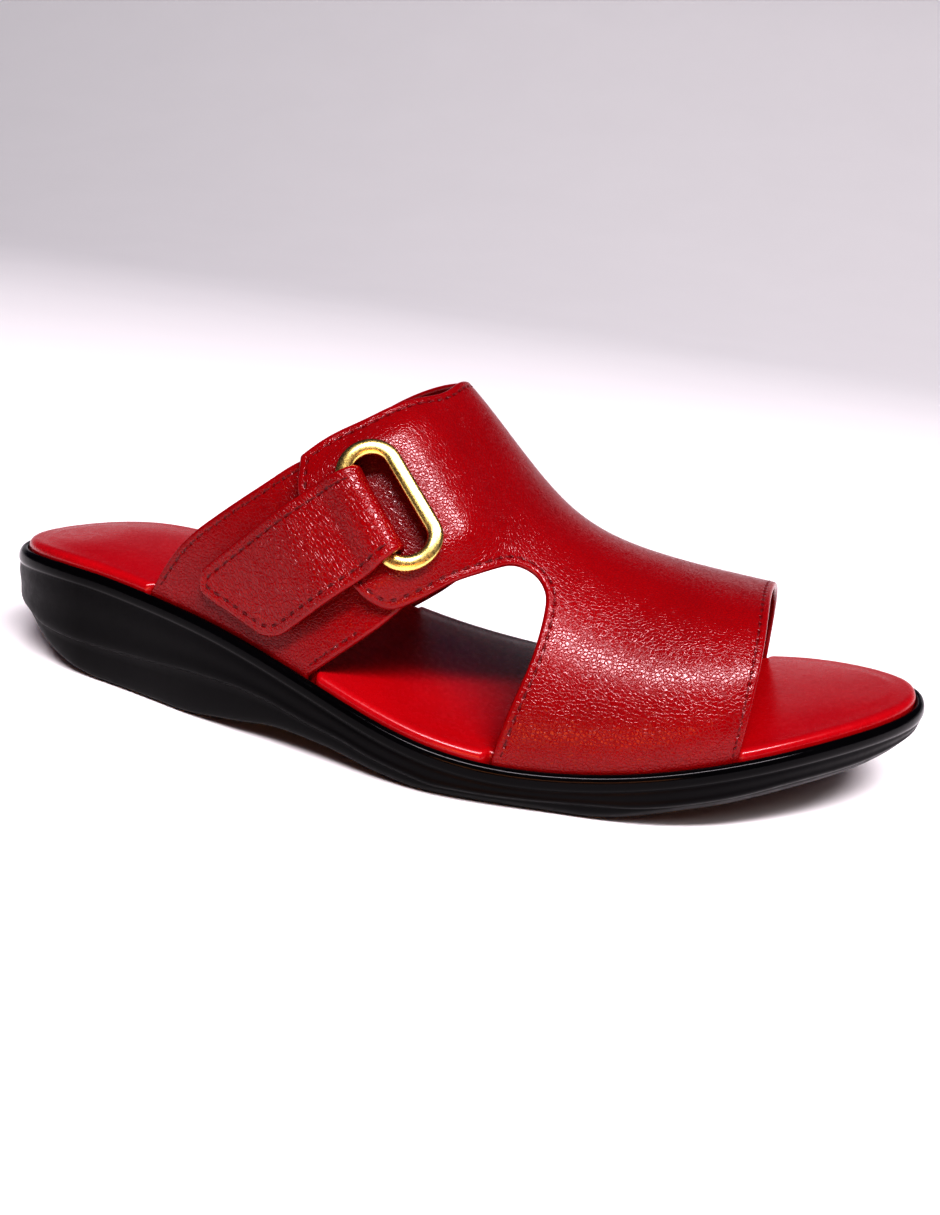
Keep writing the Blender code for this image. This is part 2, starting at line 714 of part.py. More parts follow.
def make_tab():
    """Two-ply tab: rooted on the side strap, up through the ring and folded back over it."""
    half = TAB_WIDTH / 2
    lanes = half * np.sin(np.linspace(-math.pi / 2, math.pi / 2, 13))
    depth = half - np.abs(lanes)
    missing = np.clip(TAB_CORNER - depth, 0, None)
    corner = TAB_CORNER - np.sqrt(np.clip(TAB_CORNER ** 2 - missing ** 2, 0, None))
    tip = TAB_LENGTH - TAB_SLANT * (lanes + half) / TAB_WIDTH - corner
    path = tab_path()
    on_flap = FLAP_STEP + TAB_ROOM + GAP + TAB_THICK / 2
    rest = GAP + TAB_THICK / 2 + TAB_TIP_LIFT
    laid = (
        (0.0, on_flap), (0.18, on_flap), (0.50, (on_flap + rest) / 2),
        (0.80, rest + 0.0002), (1.0, rest),
    )
    free = RING_WIDTH / 2 - RING_BAND - 2 * GAP - TAB_THICK / 2
    start = path[-1][0]
    rows = []
    for back, height, share in path:
        across = lanes * share
        room = slot_edge(across + TAB_SHIFT) - 2 * GAP - TAB_THICK / 2
        in_slot = share < TAB_NECK
        pushed = np.where(in_slot, room - free, 0.0)
        rows.append((back + pushed, across, np.full(len(lanes), height)))
    for t in np.linspace(0, 1, 15)[1:]:
        back = start + (tip - start) * t
        run = np.clip((back - start) / (TAB_LENGTH - start), 0, 1)
        height = np.where(back < FLAP_END, on_flap, steady(laid, 1, run))
        rows.append((back, lanes, height))
    points = [on_frame(back, across + TAB_SHIFT, height) for back, across, height in rows]
    count = len(lanes)
    verts = [tuple(p) for row in points for p in row]
    faces = []
    for i in range(len(rows) - 1):
        for j in range(count - 1):
            a = i * count + j
            faces.append((a, a + count, a + count + 1, a + 1))
    tab = make_object("closure_tab", verts, faces, (0.48, 0.006, 0.012), 0.38)
    wall = tab.modifiers.new("wall", "SOLIDIFY")
    wall.thickness = TAB_THICK
    wall.offset = 0.0
    wall.use_even_offset = True
    wall.use_quality_normals = True
    return tab


def clear_scene():
    """Remove what the file holds."""
    for obj in list(bpy.data.objects):
        bpy.data.objects.remove(obj, do_unlink=True)


def collection(name):
    """New collection in the scene."""
    made = bpy.data.collections.new(name)
    bpy.context.scene.collection.children.link(made)
    return made


def middle_line():
    """Middle of the plan across its width."""
    half, centre = plan(np.linspace(0, 1, 400))
    return float(((centre + half).max() + (centre - half).min()) / 2)


clear_scene()
PARTS = collection("sandal")
CUTTERS = collection("cutters")
MIDDLE = middle_line()
make_sole()
make_insole()
make_upper()
make_side_strap()
make_tab()
make_ring()
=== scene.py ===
"""Dressed scene of a slip-on wedge sandal for the right foot.

A red pebbled leather upper with a slotted flap, a side strap whose tab folds back through a long
polished ring, a red footbed and a black moulded sole, on a pale floor in soft studio light.

Everything is in metres in the part's own frame: toe along +X, outer side along -Y, floor at z = 0.
Shares of the length run from the back of the heel (0) to the toe (1). Shares of the girth run over
the foot from the outer rim (-1) across the instep (0) to the inner rim (+1).
"""
from __future__ import annotations

import logging
import math
from collections.abc import Callable, Sequence
from dataclasses import dataclass, field
from enum import Enum
from functools import lru_cache

import bpy
import numpy as np
from mathutils import Matrix, Vector, kdtree
from mathutils.geometry import delaunay_2d_cdt

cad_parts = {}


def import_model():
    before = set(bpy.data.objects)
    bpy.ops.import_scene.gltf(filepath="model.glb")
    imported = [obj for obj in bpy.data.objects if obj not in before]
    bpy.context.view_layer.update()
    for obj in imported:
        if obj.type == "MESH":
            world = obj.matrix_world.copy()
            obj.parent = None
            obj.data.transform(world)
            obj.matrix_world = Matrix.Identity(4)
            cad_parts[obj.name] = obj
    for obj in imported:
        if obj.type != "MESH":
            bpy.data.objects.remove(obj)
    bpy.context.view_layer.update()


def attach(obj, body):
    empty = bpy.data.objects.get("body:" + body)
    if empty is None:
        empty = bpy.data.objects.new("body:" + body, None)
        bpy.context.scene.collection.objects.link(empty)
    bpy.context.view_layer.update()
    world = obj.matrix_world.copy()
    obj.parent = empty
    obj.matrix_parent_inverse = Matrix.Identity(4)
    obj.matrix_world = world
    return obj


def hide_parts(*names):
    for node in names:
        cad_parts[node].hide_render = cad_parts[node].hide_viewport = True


Array = np.ndarray
Table = tuple[tuple[float, ...], ...]
Colour = tuple[float, float, float]

MM = 0.001
LOG = logging.getLogger("sandal")


class NaturalCurve:
    """Natural cubic curve through rows of values."""

    def __init__(self, knots: Array, rows: Array) -> None:
        """Solves the curve.

        Args:
            knots: increasing position of each row.
            rows: one row of values per knot.
        """
        count = len(knots)
        step = np.diff(knots)
        matrix = np.eye(count)
        right = np.zeros_like(rows)
        for i in range(1, count - 1):
            matrix[i, i - 1:i + 2] = (step[i - 1], 2 * (step[i - 1] + step[i]), step[i])
            ahead = (rows[i + 1] - rows[i]) / step[i]
            right[i] = 6 * (ahead - (rows[i] - rows[i - 1]) / step[i - 1])
        bend = np.linalg.solve(matrix, right)
        width = step[:, None]
        self.knots = knots
        self.start = rows[:-1]
        self.slope = np.diff(rows, axis=0) / width - width * (2 * bend[:-1] + bend[1:]) / 6
        self.half_bend = bend[:-1] / 2
        self.twist = np.diff(bend, axis=0) / (6 * width)

    def read(self, at: Array) -> Array:
        """One row of values per position."""
        i = np.clip(np.searchsorted(self.knots, at) - 1, 0, len(self.knots) - 2)
        t = (at - self.knots[i])[:, None]
        return self.start[i] + t * (self.slope[i] + t * (self.half_bend[i] + t * self.twist[i]))


@lru_cache(maxsize=None)
def column_curve(table: Table, column: int) -> NaturalCurve:
    """The smooth curve through one column of a table, solved once."""
    data = np.array(table, float)
    return NaturalCurve(data[:, 0], data[:, column:column + 1])


def spline(table: Table, column: int, at: Array) -> Array:
    """Smooth curve through one column of a table.

    Args:
        table: rows that start with their position.
        column: which column to follow.
        at: positions to read.

    Returns:
        The curve's values, in the shape of the positions.
    """
    at = np.asarray(at, float)
    return column_curve(table, column).read(at.ravel())[:, 0].reshape(at.shape)


def steady(table: Table, column: int, at: Array) -> Array:
    """Curve through one column that stays flat between equal rows.

    Args:
        table: rows that start with their position.
        column: which column to follow.
        at: positions to read.

    Returns:
        The curve's values, in the shape of the positions.
    """
    data = np.array(table, float)
    xs = data[:, 0]
    ys = data[:, column]
    rate = np.diff(ys) / np.diff(xs)
    slope = np.zeros(len(xs))
    same_way = rate[:-1] * rate[1:] > 0
    joined = 2 * rate[:-1] * rate[1:] / np.where(same_way, rate[:-1] + rate[1:], 1.0)
    slope[1:-1] = np.where(same_way, joined, 0.0)
    slope[0] = rate[0]
    slope[-1] = rate[-1]
    at = np.clip(np.asarray(at, float), xs[0], xs[-1])
    i = np.clip(np.searchsorted(xs, at) - 1, 0, len(xs) - 2)
    width = xs[i + 1] - xs[i]
    t = (at - xs[i]) / width
    start = ys[i] * (1 + 2 * t) * (1 - t) ** 2 + slope[i] * width * t * (1 - t) ** 2
    end = ys[i + 1] * t * t * (3 - 2 * t) - slope[i + 1] * width * t * t * (1 - t)
    return start + end


def ease(low: float, high: float, value: Array) -> Array:
    """0 below low, 1 above high, smooth between."""
    t = np.clip((np.asarray(value, float) - low) / (high - low), 0.0, 1.0)
    return t * t * (3 - 2 * t)


def unit(vectors: Array) -> Array:
    """Vectors of length one."""
    return vectors / np.linalg.norm(vectors, axis=-1, keepdims=True)


def run_along(points: Array) -> Array:
    """Length along a line of points, from its first one."""
    return np.concatenate([[0.0], np.cumsum(np.linalg.norm(np.diff(points, axis=0), axis=1))])


@dataclass(frozen=True)
class Last:
    """The foot form that every piece follows: plan of the sole, rim line and instep sections."""

    length: float = 0.252
    ball_width: float = 0.092
    heel_seat: float = 0.030
    instep: float = 0.086
    heel_cap: float = 0.13
    toe_cap: float = 0.30
    heel_round: float = 2.0
    toe_round: float = 2.3
    seat_inset: float = 0.0027
    girth_scale: float = 0.080
    plan_width: Table = (
        (0.00, 0.255), (0.12, 0.300), (0.28, 0.370), (0.42, 0.420),
        (0.56, 0.505), (0.70, 0.500), (0.84, 0.490), (1.00, 0.375),
    )
    plan_centre: Table = (
        (0.0, -0.115), (0.2, -0.100), (0.4, -0.140), (0.6, -0.065), (0.8, 0.040), (1.0, 0.190),
    )
    rim_line: Table = (
        (0.0, 0.900), (0.1, 1.000), (0.2, 0.975), (0.3, 0.900), (0.4, 0.710), (0.5, 0.480),
        (0.6, 0.350), (0.7, 0.390), (0.8, 0.575), (0.9, 0.770), (1.0, 0.910),
    )
    sections: Table = (
        (0.140, 1.810, -0.035, 2.33, 2.27),
        (0.240, 1.440, -0.026, 2.33, 2.27),
        (0.357, 1.270, -0.014, 2.14, 2.11),
        (0.500, 1.000, 0.007, 1.95, 1.95),
        (0.595, 0.737, 0.017, 2.01, 2.15),
        (0.695, 0.625, 0.030, 2.06, 2.33),
        (0.840, 0.587, 0.050, 2.15, 2.60),
    )

    def plan(self, share: Array) -> tuple[Array, Array]:
        """Half width and centre line of the sole's plan.

        Args:
            share: shares of the length.

        Returns:
            Half widths and centre line offsets.
        """
        share = np.asarray(share, float)
        half = spline(self.plan_width, 1, share) * self.ball_width
        centre = spline(self.plan_centre, 1, share) * self.ball_width
        back = np.clip(1 - share / self.heel_cap, 0, 1)
        front = np.clip(1 - (1 - share) / self.toe_cap, 0, 1)
        half = half * np.clip(1 - back ** self.heel_round, 0, 1) ** (1 / self.heel_round)
        half = half * np.clip(1 - front ** self.toe_round, 0, 1) ** (1 / self.toe_round)
        return half, centre

    def middle(self) -> float:
        """Middle of the plan across its width."""
        half, centre = self.plan(np.linspace(0, 1, 400))
        return float(((centre + half).max() + (centre - half).min()) / 2)

    def seat(self, share: Array) -> tuple[Array, Array]:
        """Half width and centre line of the groove in which the leather stands.

        Args:
            share: shares of the length.

        Returns:
            Half widths and centre line offsets.
        """
        small = 1e-4
        half, centre = self.plan(share)
        half_on, centre_on = self.plan(share + small)
        half_back, centre_back = self.plan(share - small)
        run = 2 * small * self.length
        outer_slope = ((centre_on - half_on) - (centre_back - half_back)) / run
        inner_slope = ((centre_on + half_on) - (centre_back + half_back)) / run
        outer = centre - half + self.seat_inset * np.sqrt(1 + outer_slope ** 2)
        inner = centre + half - self.seat_inset * np.sqrt(1 + inner_slope ** 2)
        return (inner - outer) / 2, (inner + outer) / 2

    def rim(self, share: Array) -> Array:
        """Height of the sole's lip."""
        return spline(self.rim_line, 1, share) * self.heel_seat

    def surface(self, share: Array, girth: Array) -> Array:
        """Points on the outer face of the leather, going straight down below the rim.

        Args:
            share: shares of the length.
            girth: shares of the girth.

        Returns:
            Points in the last's own place, heel at x = 0.
        """
        share = np.asarray(share, float)
        girth = np.asarray(girth, float)
        around = np.clip(girth, -1, 1)
        half, centre = self.seat(share)
        rim = self.rim(share)
        top = spline(self.sections, 1, share) * self.instep
        ridge = spline(self.sections, 2, share) * self.ball_width
        outer, inner = (steady(self.sections, column, share) for column in (3, 4))
        square = np.where(around < 0, outer, inner)
        sine = np.abs(np.sin(around * math.pi / 2))
        cosine = np.clip(np.cos(around * math.pi / 2), 0, 1)
        reach = (sine ** square + cosine ** square) ** (-1 / square)
        side = np.sign(around) * sine * reach
        up = cosine * reach
        below = (np.abs(girth) - np.abs(around)) * self.girth_scale
        return np.stack([
            share * self.length,
            centre + half * side + (ridge - centre) * up,
            rim + (top - rim) * up - below,
        ], -1)

    def normal(self, share: Array, girth: Array) -> Array:
        """Outward normals of the surface.

        Args:
            share: shares of the length.
            girth: shares of the girth.

        Returns:
            Unit vectors.
        """
        small = 1e-4
        girth = np.clip(girth, -1 + small, 1 - small)
        along = self.surface(share + small, girth) - self.surface(share - small, girth)
        across = self.surface(share, girth + small) - self.surface(share, girth - small)
        return unit(np.cross(along, across))

    def lay(self, flat: Array) -> tuple[Array, Array]:
        """Lays points of a flat pattern on the surface.

        Args:
            flat: one row per point, length along the last and scaled girth.

        Returns:
            Points on the surface and its unit normals.
        """
        share = flat[:, 0] / self.length
        girth = flat[:, 1] / self.girth_scale
        return self.surface(share, girth), self.normal(share, girth)

    def draw(self, edge: Table, step: float = 0.0004) -> Array:
        """Dense line through an edge's rows, in the flat.

        Args:
            edge: rows of share of the length and share of the girth.
            step: spacing of the points.

        Returns:
            Points of the flat pattern.
        """
        rows = np.array(edge, float) * (self.length, self.girth_scale)
        run = run_along(rows)
        at = np.linspace(0, run[-1], max(2, int(round(run[-1] / step)) + 1))
        return NaturalCurve(run, rows).read(at)

    def leg(self, start: float, end: float, girth: float, depth: float) -> Array:
        """Line along the end of a leg, down in the groove beside the footbed.

        Args:
            start: share of the length where it starts.
            end: share of the length where it ends.
            girth: side of the foot, -1 outer or 1 inner.
            depth: how far under the rim it reaches.

        Returns:
            Points of the flat pattern.
        """
        share = np.linspace(start, end, max(3, int(abs(end - start) * self.length / 0.0004)))
        down = np.full(len(share), girth * (self.girth_scale + depth))
        return np.column_stack([share * self.length, down])


@dataclass(frozen=True)
class Sizes:
    """Walls, gaps and the closure's sizes that several pieces share."""

    wall: float = 0.0018
    gap: float = 0.0003
    recess: float = 0.0036
    lip_top: float = 0.0024
    tab_thick: float = 0.0020
    tab_width: float = 0.0256
    tab_shift: float = -0.0004
    tab_tip_lift: float = 0.0008
    tab_root: float = 0.0120
    slot_share: float = 0.89
    ring_length: float = 0.0345
    ring_width: float = 0.0156
    ring_band: float = 0.0039
    ring_height: float = 0.0022
    slot_margin: float = 0.0008
    flap_ramp: float = 0.0200
    flap_reach: float = 0.0020
    tab_fade: tuple[float, float] = (0.0016, 0.0098)
    lift_girth: tuple[float, float] = (0.15, 0.35)
    lift_share: tuple[float, float] = (0.525, 0.600)
    ring_seat: tuple[float, float] = (0.4615, -0.600)
    tab_aim: float = math.radians(38.5)

    def flap_step(self) -> float:
        """Lift of the flap over the side strap."""
        return self.wall + self.gap

    def tab_room(self) -> float:
        """Further lift of the flap over the tab's root."""
        return self.tab_thick + 2 * self.gap

    def leg_depth(self) -> float:
        """How far the upper's legs stand under the rim."""
        return self.recess - self.gap


class ClosureFrame:
    """Flat frame at the ring: back along the tab, and down across it."""

    cell = 0.001

    def __init__(self, last: Last, sizes: Sizes) -> None:
        """Sets the frame on the last.

        Args:
            last: the foot form.
            sizes: the closure's sizes.
        """
        self.last = last
        self.sizes = sizes
        share, girth = sizes.ring_seat
        self.seat = last.surface(share, girth)
        normal = last.normal(share, girth)
        level = unit(np.cross(normal, (0.0, 0.0, 1.0)))
        down = np.cross(normal, level)
        self.back = level * math.cos(sizes.tab_aim) + down * math.sin(sizes.tab_aim)
        self.across = down * math.cos(sizes.tab_aim) - level * math.sin(sizes.tab_aim)
        self.low = np.array([-0.020, -0.024])
        back = np.arange(self.low[0], 0.062, self.cell)
        across = np.arange(self.low[1], 0.024, self.cell)
        share, girth = self.find(*np.meshgrid(back, across, indexing="ij"))
        self.chart = np.concatenate([last.surface(share, girth), last.normal(share, girth)], -1)

    def flat(self, share: Array, girth: Array) -> tuple[Array, Array]:
        """Back and across measures of points of the last."""
        offset = self.last.surface(share, girth) - self.seat
        return offset @ self.back, offset @ self.across

    def find(self, back: Array, across: Array) -> tuple[Array, Array]:
        """Shares of length and girth of the points with these measures.

        Args:
            back: measures back along the tab.
            across: measures down across it.

        Returns:
            Shares of the length and of the girth.
        """
        share = np.full(np.shape(back), self.sizes.ring_seat[0])
        girth = np.full(np.shape(back), self.sizes.ring_seat[1])
        small = 1e-4
        for _ in range(8):
            b, a = self.flat(share, girth)
            b_share, a_share = self.flat(share + small, girth)
            b_girth, a_girth = self.flat(share, girth + small)
            b_share, a_share = (b_share - b) / small, (a_share - a) / small
            b_girth, a_girth = (b_girth - b) / small, (a_girth - a) / small
            det = b_share * a_girth - b_girth * a_share
            share = share + ((back - b) * a_girth - (across - a) * b_girth) / det
            girth = girth + ((across - a) * b_share - (back - b) * a_share) / det
            girth = np.clip(girth, -0.995, 0.0)
        return share, girth

    def over(self, back: Array, across: Array, height: Array) -> Array:
        """Points over the last, raised along the surface's normal.

        Args:
            back: measures back along the tab.
            across: measures down across it.
            height: heights over the last.

        Returns:
            Points in the last's own place.
        """
        at = (np.stack([back, across], -1) - self.low) / self.cell
        corner = np.clip(at.astype(int), 1, np.array(self.chart.shape[:2]) - 3)
        t = at - corner
        weights = np.stack([
            -t / 2 + t * t - t ** 3 / 2, 1 - 2.5 * t * t + 1.5 * t ** 3,
            t / 2 + 2 * t * t - 1.5 * t ** 3, -t * t / 2 + t ** 3 / 2,
        ])
        value = np.zeros((len(t), 6))
        for i in range(4):
            for k in range(4):
                cell = self.chart[corner[:, 0] + i - 1, corner[:, 1] + k - 1]
                value += cell * (weights[i, :, 0] * weights[k, :, 1])[:, None]
        return value[:, :3] + unit(value[:, 3:]) * np.asarray(height)[:, None]

    def flap_lift(self, share: Array, girth: Array) -> Array:
        """How far the flap stands off the last over the strap and the tab's root.

        Args:
            share: shares of the length.
            girth: shares of the girth.

        Returns:
            Lifts along the normal.
        """
        z = self.sizes
        back, across = self.flat(share, girth)
        reach = z.ring_width / 2 + z.flap_reach
        outer_side = ease(*z.lift_girth, -girth) * (1 - ease(*z.lift_share, share))
        over_strap = ease(-reach - z.flap_ramp, -reach, back)
        side = np.abs(across - z.tab_shift) - z.tab_width / 2
        over_tab = over_strap * (1 - ease(*z.tab_fade, side))
        return outer_side * (z.flap_step() * over_strap + z.tab_room() * over_tab)


class Bench:
    """Small helper that adds and joins nodes in one tree."""

    def __init__(self, tree: bpy.types.NodeTree) -> None:
        """Keeps the tree to build in."""
        self.tree = tree

    def feed(self, node: bpy.types.Node, inputs: dict) -> None:
        """Sets or joins a node's inputs.

        Args:
            node: the node to feed.
            inputs: input name or number to a value or to another node's output.
        """
        for key, value in inputs.items():
            socket = node.inputs[key]
            if isinstance(value, bpy.types.NodeSocket):
                self.tree.links.new(value, socket)
            else:
                socket.default_value = value

    def node(self, kind: str, inputs: dict | None = None, **settings: object) -> bpy.types.Node:
        """Adds one node.

        Args:
            kind: the node's type.
            inputs: input name or number to a value or to another node's output.
            settings: properties of the node.

        Returns:
            The new node.
        """
        made = self.tree.nodes.new(kind)
        for key, value in settings.items():
            setattr(made, key, value)
        self.feed(made, inputs or {})
        return made

    def maths(self, operation: str, *values: object) -> bpy.types.NodeSocket:
        """Output of one math node on two or three values."""
        made = self.node("ShaderNodeMath", dict(enumerate(values)), operation=operation)
        return made.outputs[0]

    def times(self, first: object, second: object) -> bpy.types.NodeSocket:
        """Product of two values."""
        return self.maths("MULTIPLY", first, second)

    def plus(self, first: object, second: object) -> bpy.types.NodeSocket:
        """Sum of two values."""
        return self.maths("ADD", first, second)

    def blend(self, factor: object, first: object, second: object) -> bpy.types.NodeSocket:
        """Output of a colour mix between two colours."""
        made = self.node("ShaderNodeMix", {0: factor, 6: first, 7: second}, data_type="RGBA")
        return made.outputs[2]

    def spread(self, value: object, low: float, high: float,
               to_low: float, to_high: float) -> bpy.types.NodeSocket:
        """Output of a smooth change of range.

        Args:
            value: what is changed.
            low: start of its range.
            high: end of its range.
            to_low: result at the start.
            to_high: result at the end.

        Returns:
            The changed value.
        """
        inputs = {0: value, 1: low, 2: high, 3: to_low, 4: to_high}
        made = self.node("ShaderNodeMapRange", inputs, interpolation_type="SMOOTHSTEP")
        return made.outputs[0]

    def noise(self, place: object, scale: object, detail: float, **more: float) -> bpy.types.Node:
        """Adds a noise texture.

        Args:
            place: where it is read.
            scale: waves per metre.
            detail: how many finer layers it has.
            more: further inputs by name.

        Returns:
            The new node.
        """
        inputs = {"Vector": place, "Scale": scale, "Detail": detail, **more}
        return self.node("ShaderNodeTexNoise", inputs)


def rgba(colour: Colour) -> tuple[float, float, float, float]:
    """Colour with full alpha."""
    return (*colour, 1.0)


def node_group(name: str, inputs: Sequence[tuple[str, str, object]],
               outputs: Sequence[tuple[str, str]]) -> tuple[bpy.types.NodeTree, Bench]:
    """Starts a shader node group.

    Args:
        name: the group's name.
        inputs: name, socket type and default of each input.
        outputs: name and socket type of each output.

    Returns:
        The group and a bench to build in it.
    """
    group = bpy.data.node_groups.new(name, "ShaderNodeTree")
    for label, kind, default in inputs:
        made = group.interface.new_socket(label, in_out="INPUT", socket_type=kind)
        if default is not None:
            made.default_value = default
    for label, kind in outputs:
        group.interface.new_socket(label, in_out="OUTPUT", socket_type=kind)
    return group, Bench(group)


class Effects:
    """Shader groups that several finishes share."""

    def __init__(self) -> None:
        """Builds each group once."""
        self.grain = self._grain()
        self.seam = self._seam()
        self.patina = self._patina()

    @staticmethod
    def _grain() -> bpy.types.NodeTree:
        """Pebbled grain: soft cells with creases between them, and fine pores."""
        group, bench = node_group(
            "pebble_grain",
            (("Vector", "NodeSocketVector", None), ("Cells per metre", "NodeSocketFloat", 900.0),
             ("Wander", "NodeSocketFloat", 0.0006)),
            (("Height", "NodeSocketFloat"), ("Crease", "NodeSocketFloat")),
        )
        given = bench.node("NodeGroupInput").outputs
        slow = bench.noise(given["Vector"], 260.0, 2.0, Roughness=0.6)
        centred = bench.node("ShaderNodeVectorMath", {
            0: slow.outputs["Color"], 1: (0.5, 0.5, 0.5)}, operation="SUBTRACT")
        wander = bench.node("ShaderNodeVectorMath", {
            0: centred.outputs[0], "Scale": given["Wander"]}, operation="SCALE")
        moved = bench.node("ShaderNodeVectorMath", {
            0: given["Vector"], 1: wander.outputs[0]}, operation="ADD").outputs[0]
        cells = bench.node("ShaderNodeTexVoronoi", {
            "Vector": moved, "Scale": given["Cells per metre"], "Randomness": 0.9},
            feature="DISTANCE_TO_EDGE").outputs["Distance"]
        smaller = bench.times(given["Cells per metre"], 2.3)
        fine = bench.node("ShaderNodeTexVoronoi", {
            "Vector": moved, "Scale": smaller, "Randomness": 1.0},
            feature="SMOOTH_F1").outputs["Distance"]
        dome = bench.spread(cells, 0.0, 0.20, 0.0, 1.0)
        pores = bench.spread(fine, 0.1, 0.8, 1.0, 0.0)
        total = bench.plus(bench.times(dome, 0.8), bench.times(pores, 0.2))
        crease = bench.spread(cells, 0.0, 0.13, 1.0, 0.0)
        bench.node("NodeGroupOutput", {"Height": total, "Crease": crease})
        return group

    @staticmethod
    def _seam() -> bpy.types.NodeTree:
        """Leather drawn in along a stitch row, deepest at the needle holes, and a mask of painted
        shade along the row, darkest at the holes.
        """
        group, bench = node_group(
            "stitch_pull",
            (("Seam mm", "NodeSocketFloat", 9.0), ("Phase", "NodeSocketFloat", 0.0)),
            (("Height", "NodeSocketFloat"), ("Shade", "NodeSocketFloat")),
        )
        given = bench.node("NodeGroupInput").outputs
        wave = bench.maths("COSINE", bench.times(given["Phase"], 2 * math.pi))
        hole = bench.spread(wave, -1.0, 0.2, 1.0, 0.0)
        near = bench.spread(given["Seam mm"], 0.10, 0.55, 1.0, 0.0)
        wide = bench.spread(given["Seam mm"], 0.2, 1.3, 1.0, 0.0)
        dent = bench.times(near, bench.plus(0.25, bench.times(hole, 0.75)))
        puff = bench.times(wide, bench.times(wave, 0.16))
        height = bench.maths("SUBTRACT", puff, dent)
        # painted shade along the row's valley, darkest at the needle holes
        shade = bench.times(near, bench.plus(0.2, bench.times(hole, 0.8)))
        bench.node("NodeGroupOutput", {"Height": height, "Shade": shade})
        return group

    @staticmethod
    def _patina() -> bpy.types.NodeTree:
        """Uneven tone and gloss of a handled surface."""
        group, bench = node_group(
            "patina",
            (("Vector", "NodeSocketVector", None), ("Patches per metre", "NodeSocketFloat", 30.0)),
            (("Tone", "NodeSocketFloat"), ("Rub", "NodeSocketFloat")),
        )
        given = bench.node("NodeGroupInput").outputs
        patches = given["Patches per metre"]
        broad = bench.noise(given["Vector"], patches, 3.0, Roughness=0.55)
        rub = bench.noise(given["Vector"], bench.times(patches, 14.0), 4.0, Roughness=0.65)
        tone = bench.spread(broad.outputs["Fac"], 0.3, 0.7, 0.0, 1.0)
        bench.node("NodeGroupOutput", {"Tone": tone, "Rub": rub.outputs["Fac"]})
        return group


class Pattern(Enum):
    """Which way a leather's grain lies."""

    PEBBLE = "pebble"
    WRINKLE = "wrinkle"


class Paint(Bench):
    """Bench for one material, with the steps that the finishes share."""

    def __init__(self, name: str) -> None:
        """Starts a material of this name."""
        self.material = bpy.data.materials.new(name)
        self.material.use_nodes = True
        super().__init__(self.material.node_tree)
        self.shader = self.tree.nodes["Principled BSDF"]

    def place(self) -> bpy.types.NodeSocket:
        """The piece's own coordinates."""
        return self.node("ShaderNodeTexCoord").outputs["Object"]

    def kept(self, name: str) -> bpy.types.NodeSocket:
        """A number that the mesh keeps for each point."""
        return self.node("ShaderNodeAttribute", attribute_name=name).outputs["Fac"]

    def effect(self, group: bpy.types.NodeTree, inputs: dict) -> bpy.types.NodeOutputs:
        """Outputs of a shared shader group.

        Args:
            group: the group.
            inputs: input name to a value or to another node's output.

        Returns:
            The group's outputs by name.
        """
        return self.node("ShaderNodeGroup", inputs, node_tree=group).outputs

    def rubbed(self, rub: object, roughness: float, less: float,
               more: float) -> bpy.types.NodeSocket:
        """Roughness that varies with the handling.

        Args:
            rub: the patina's rub.
            roughness: the middle value.
            less: how much lower it falls.
            more: how much higher it rises.

        Returns:
            The roughness.
        """
        return self.spread(rub, 0.3, 0.7, roughness - less, roughness + more)

    def bump(self, height: object) -> bpy.types.NodeSocket:
        """Normal from a height in millimetres."""
        made = self.node("ShaderNodeBump", {"Height": height, "Distance": MM, "Strength": 1.0})
        return made.outputs["Normal"]

    def done(self, inputs: dict) -> bpy.types.Material:
        """Feeds the shader and hands over the material."""
        self.feed(self.shader, inputs)
        return self.material


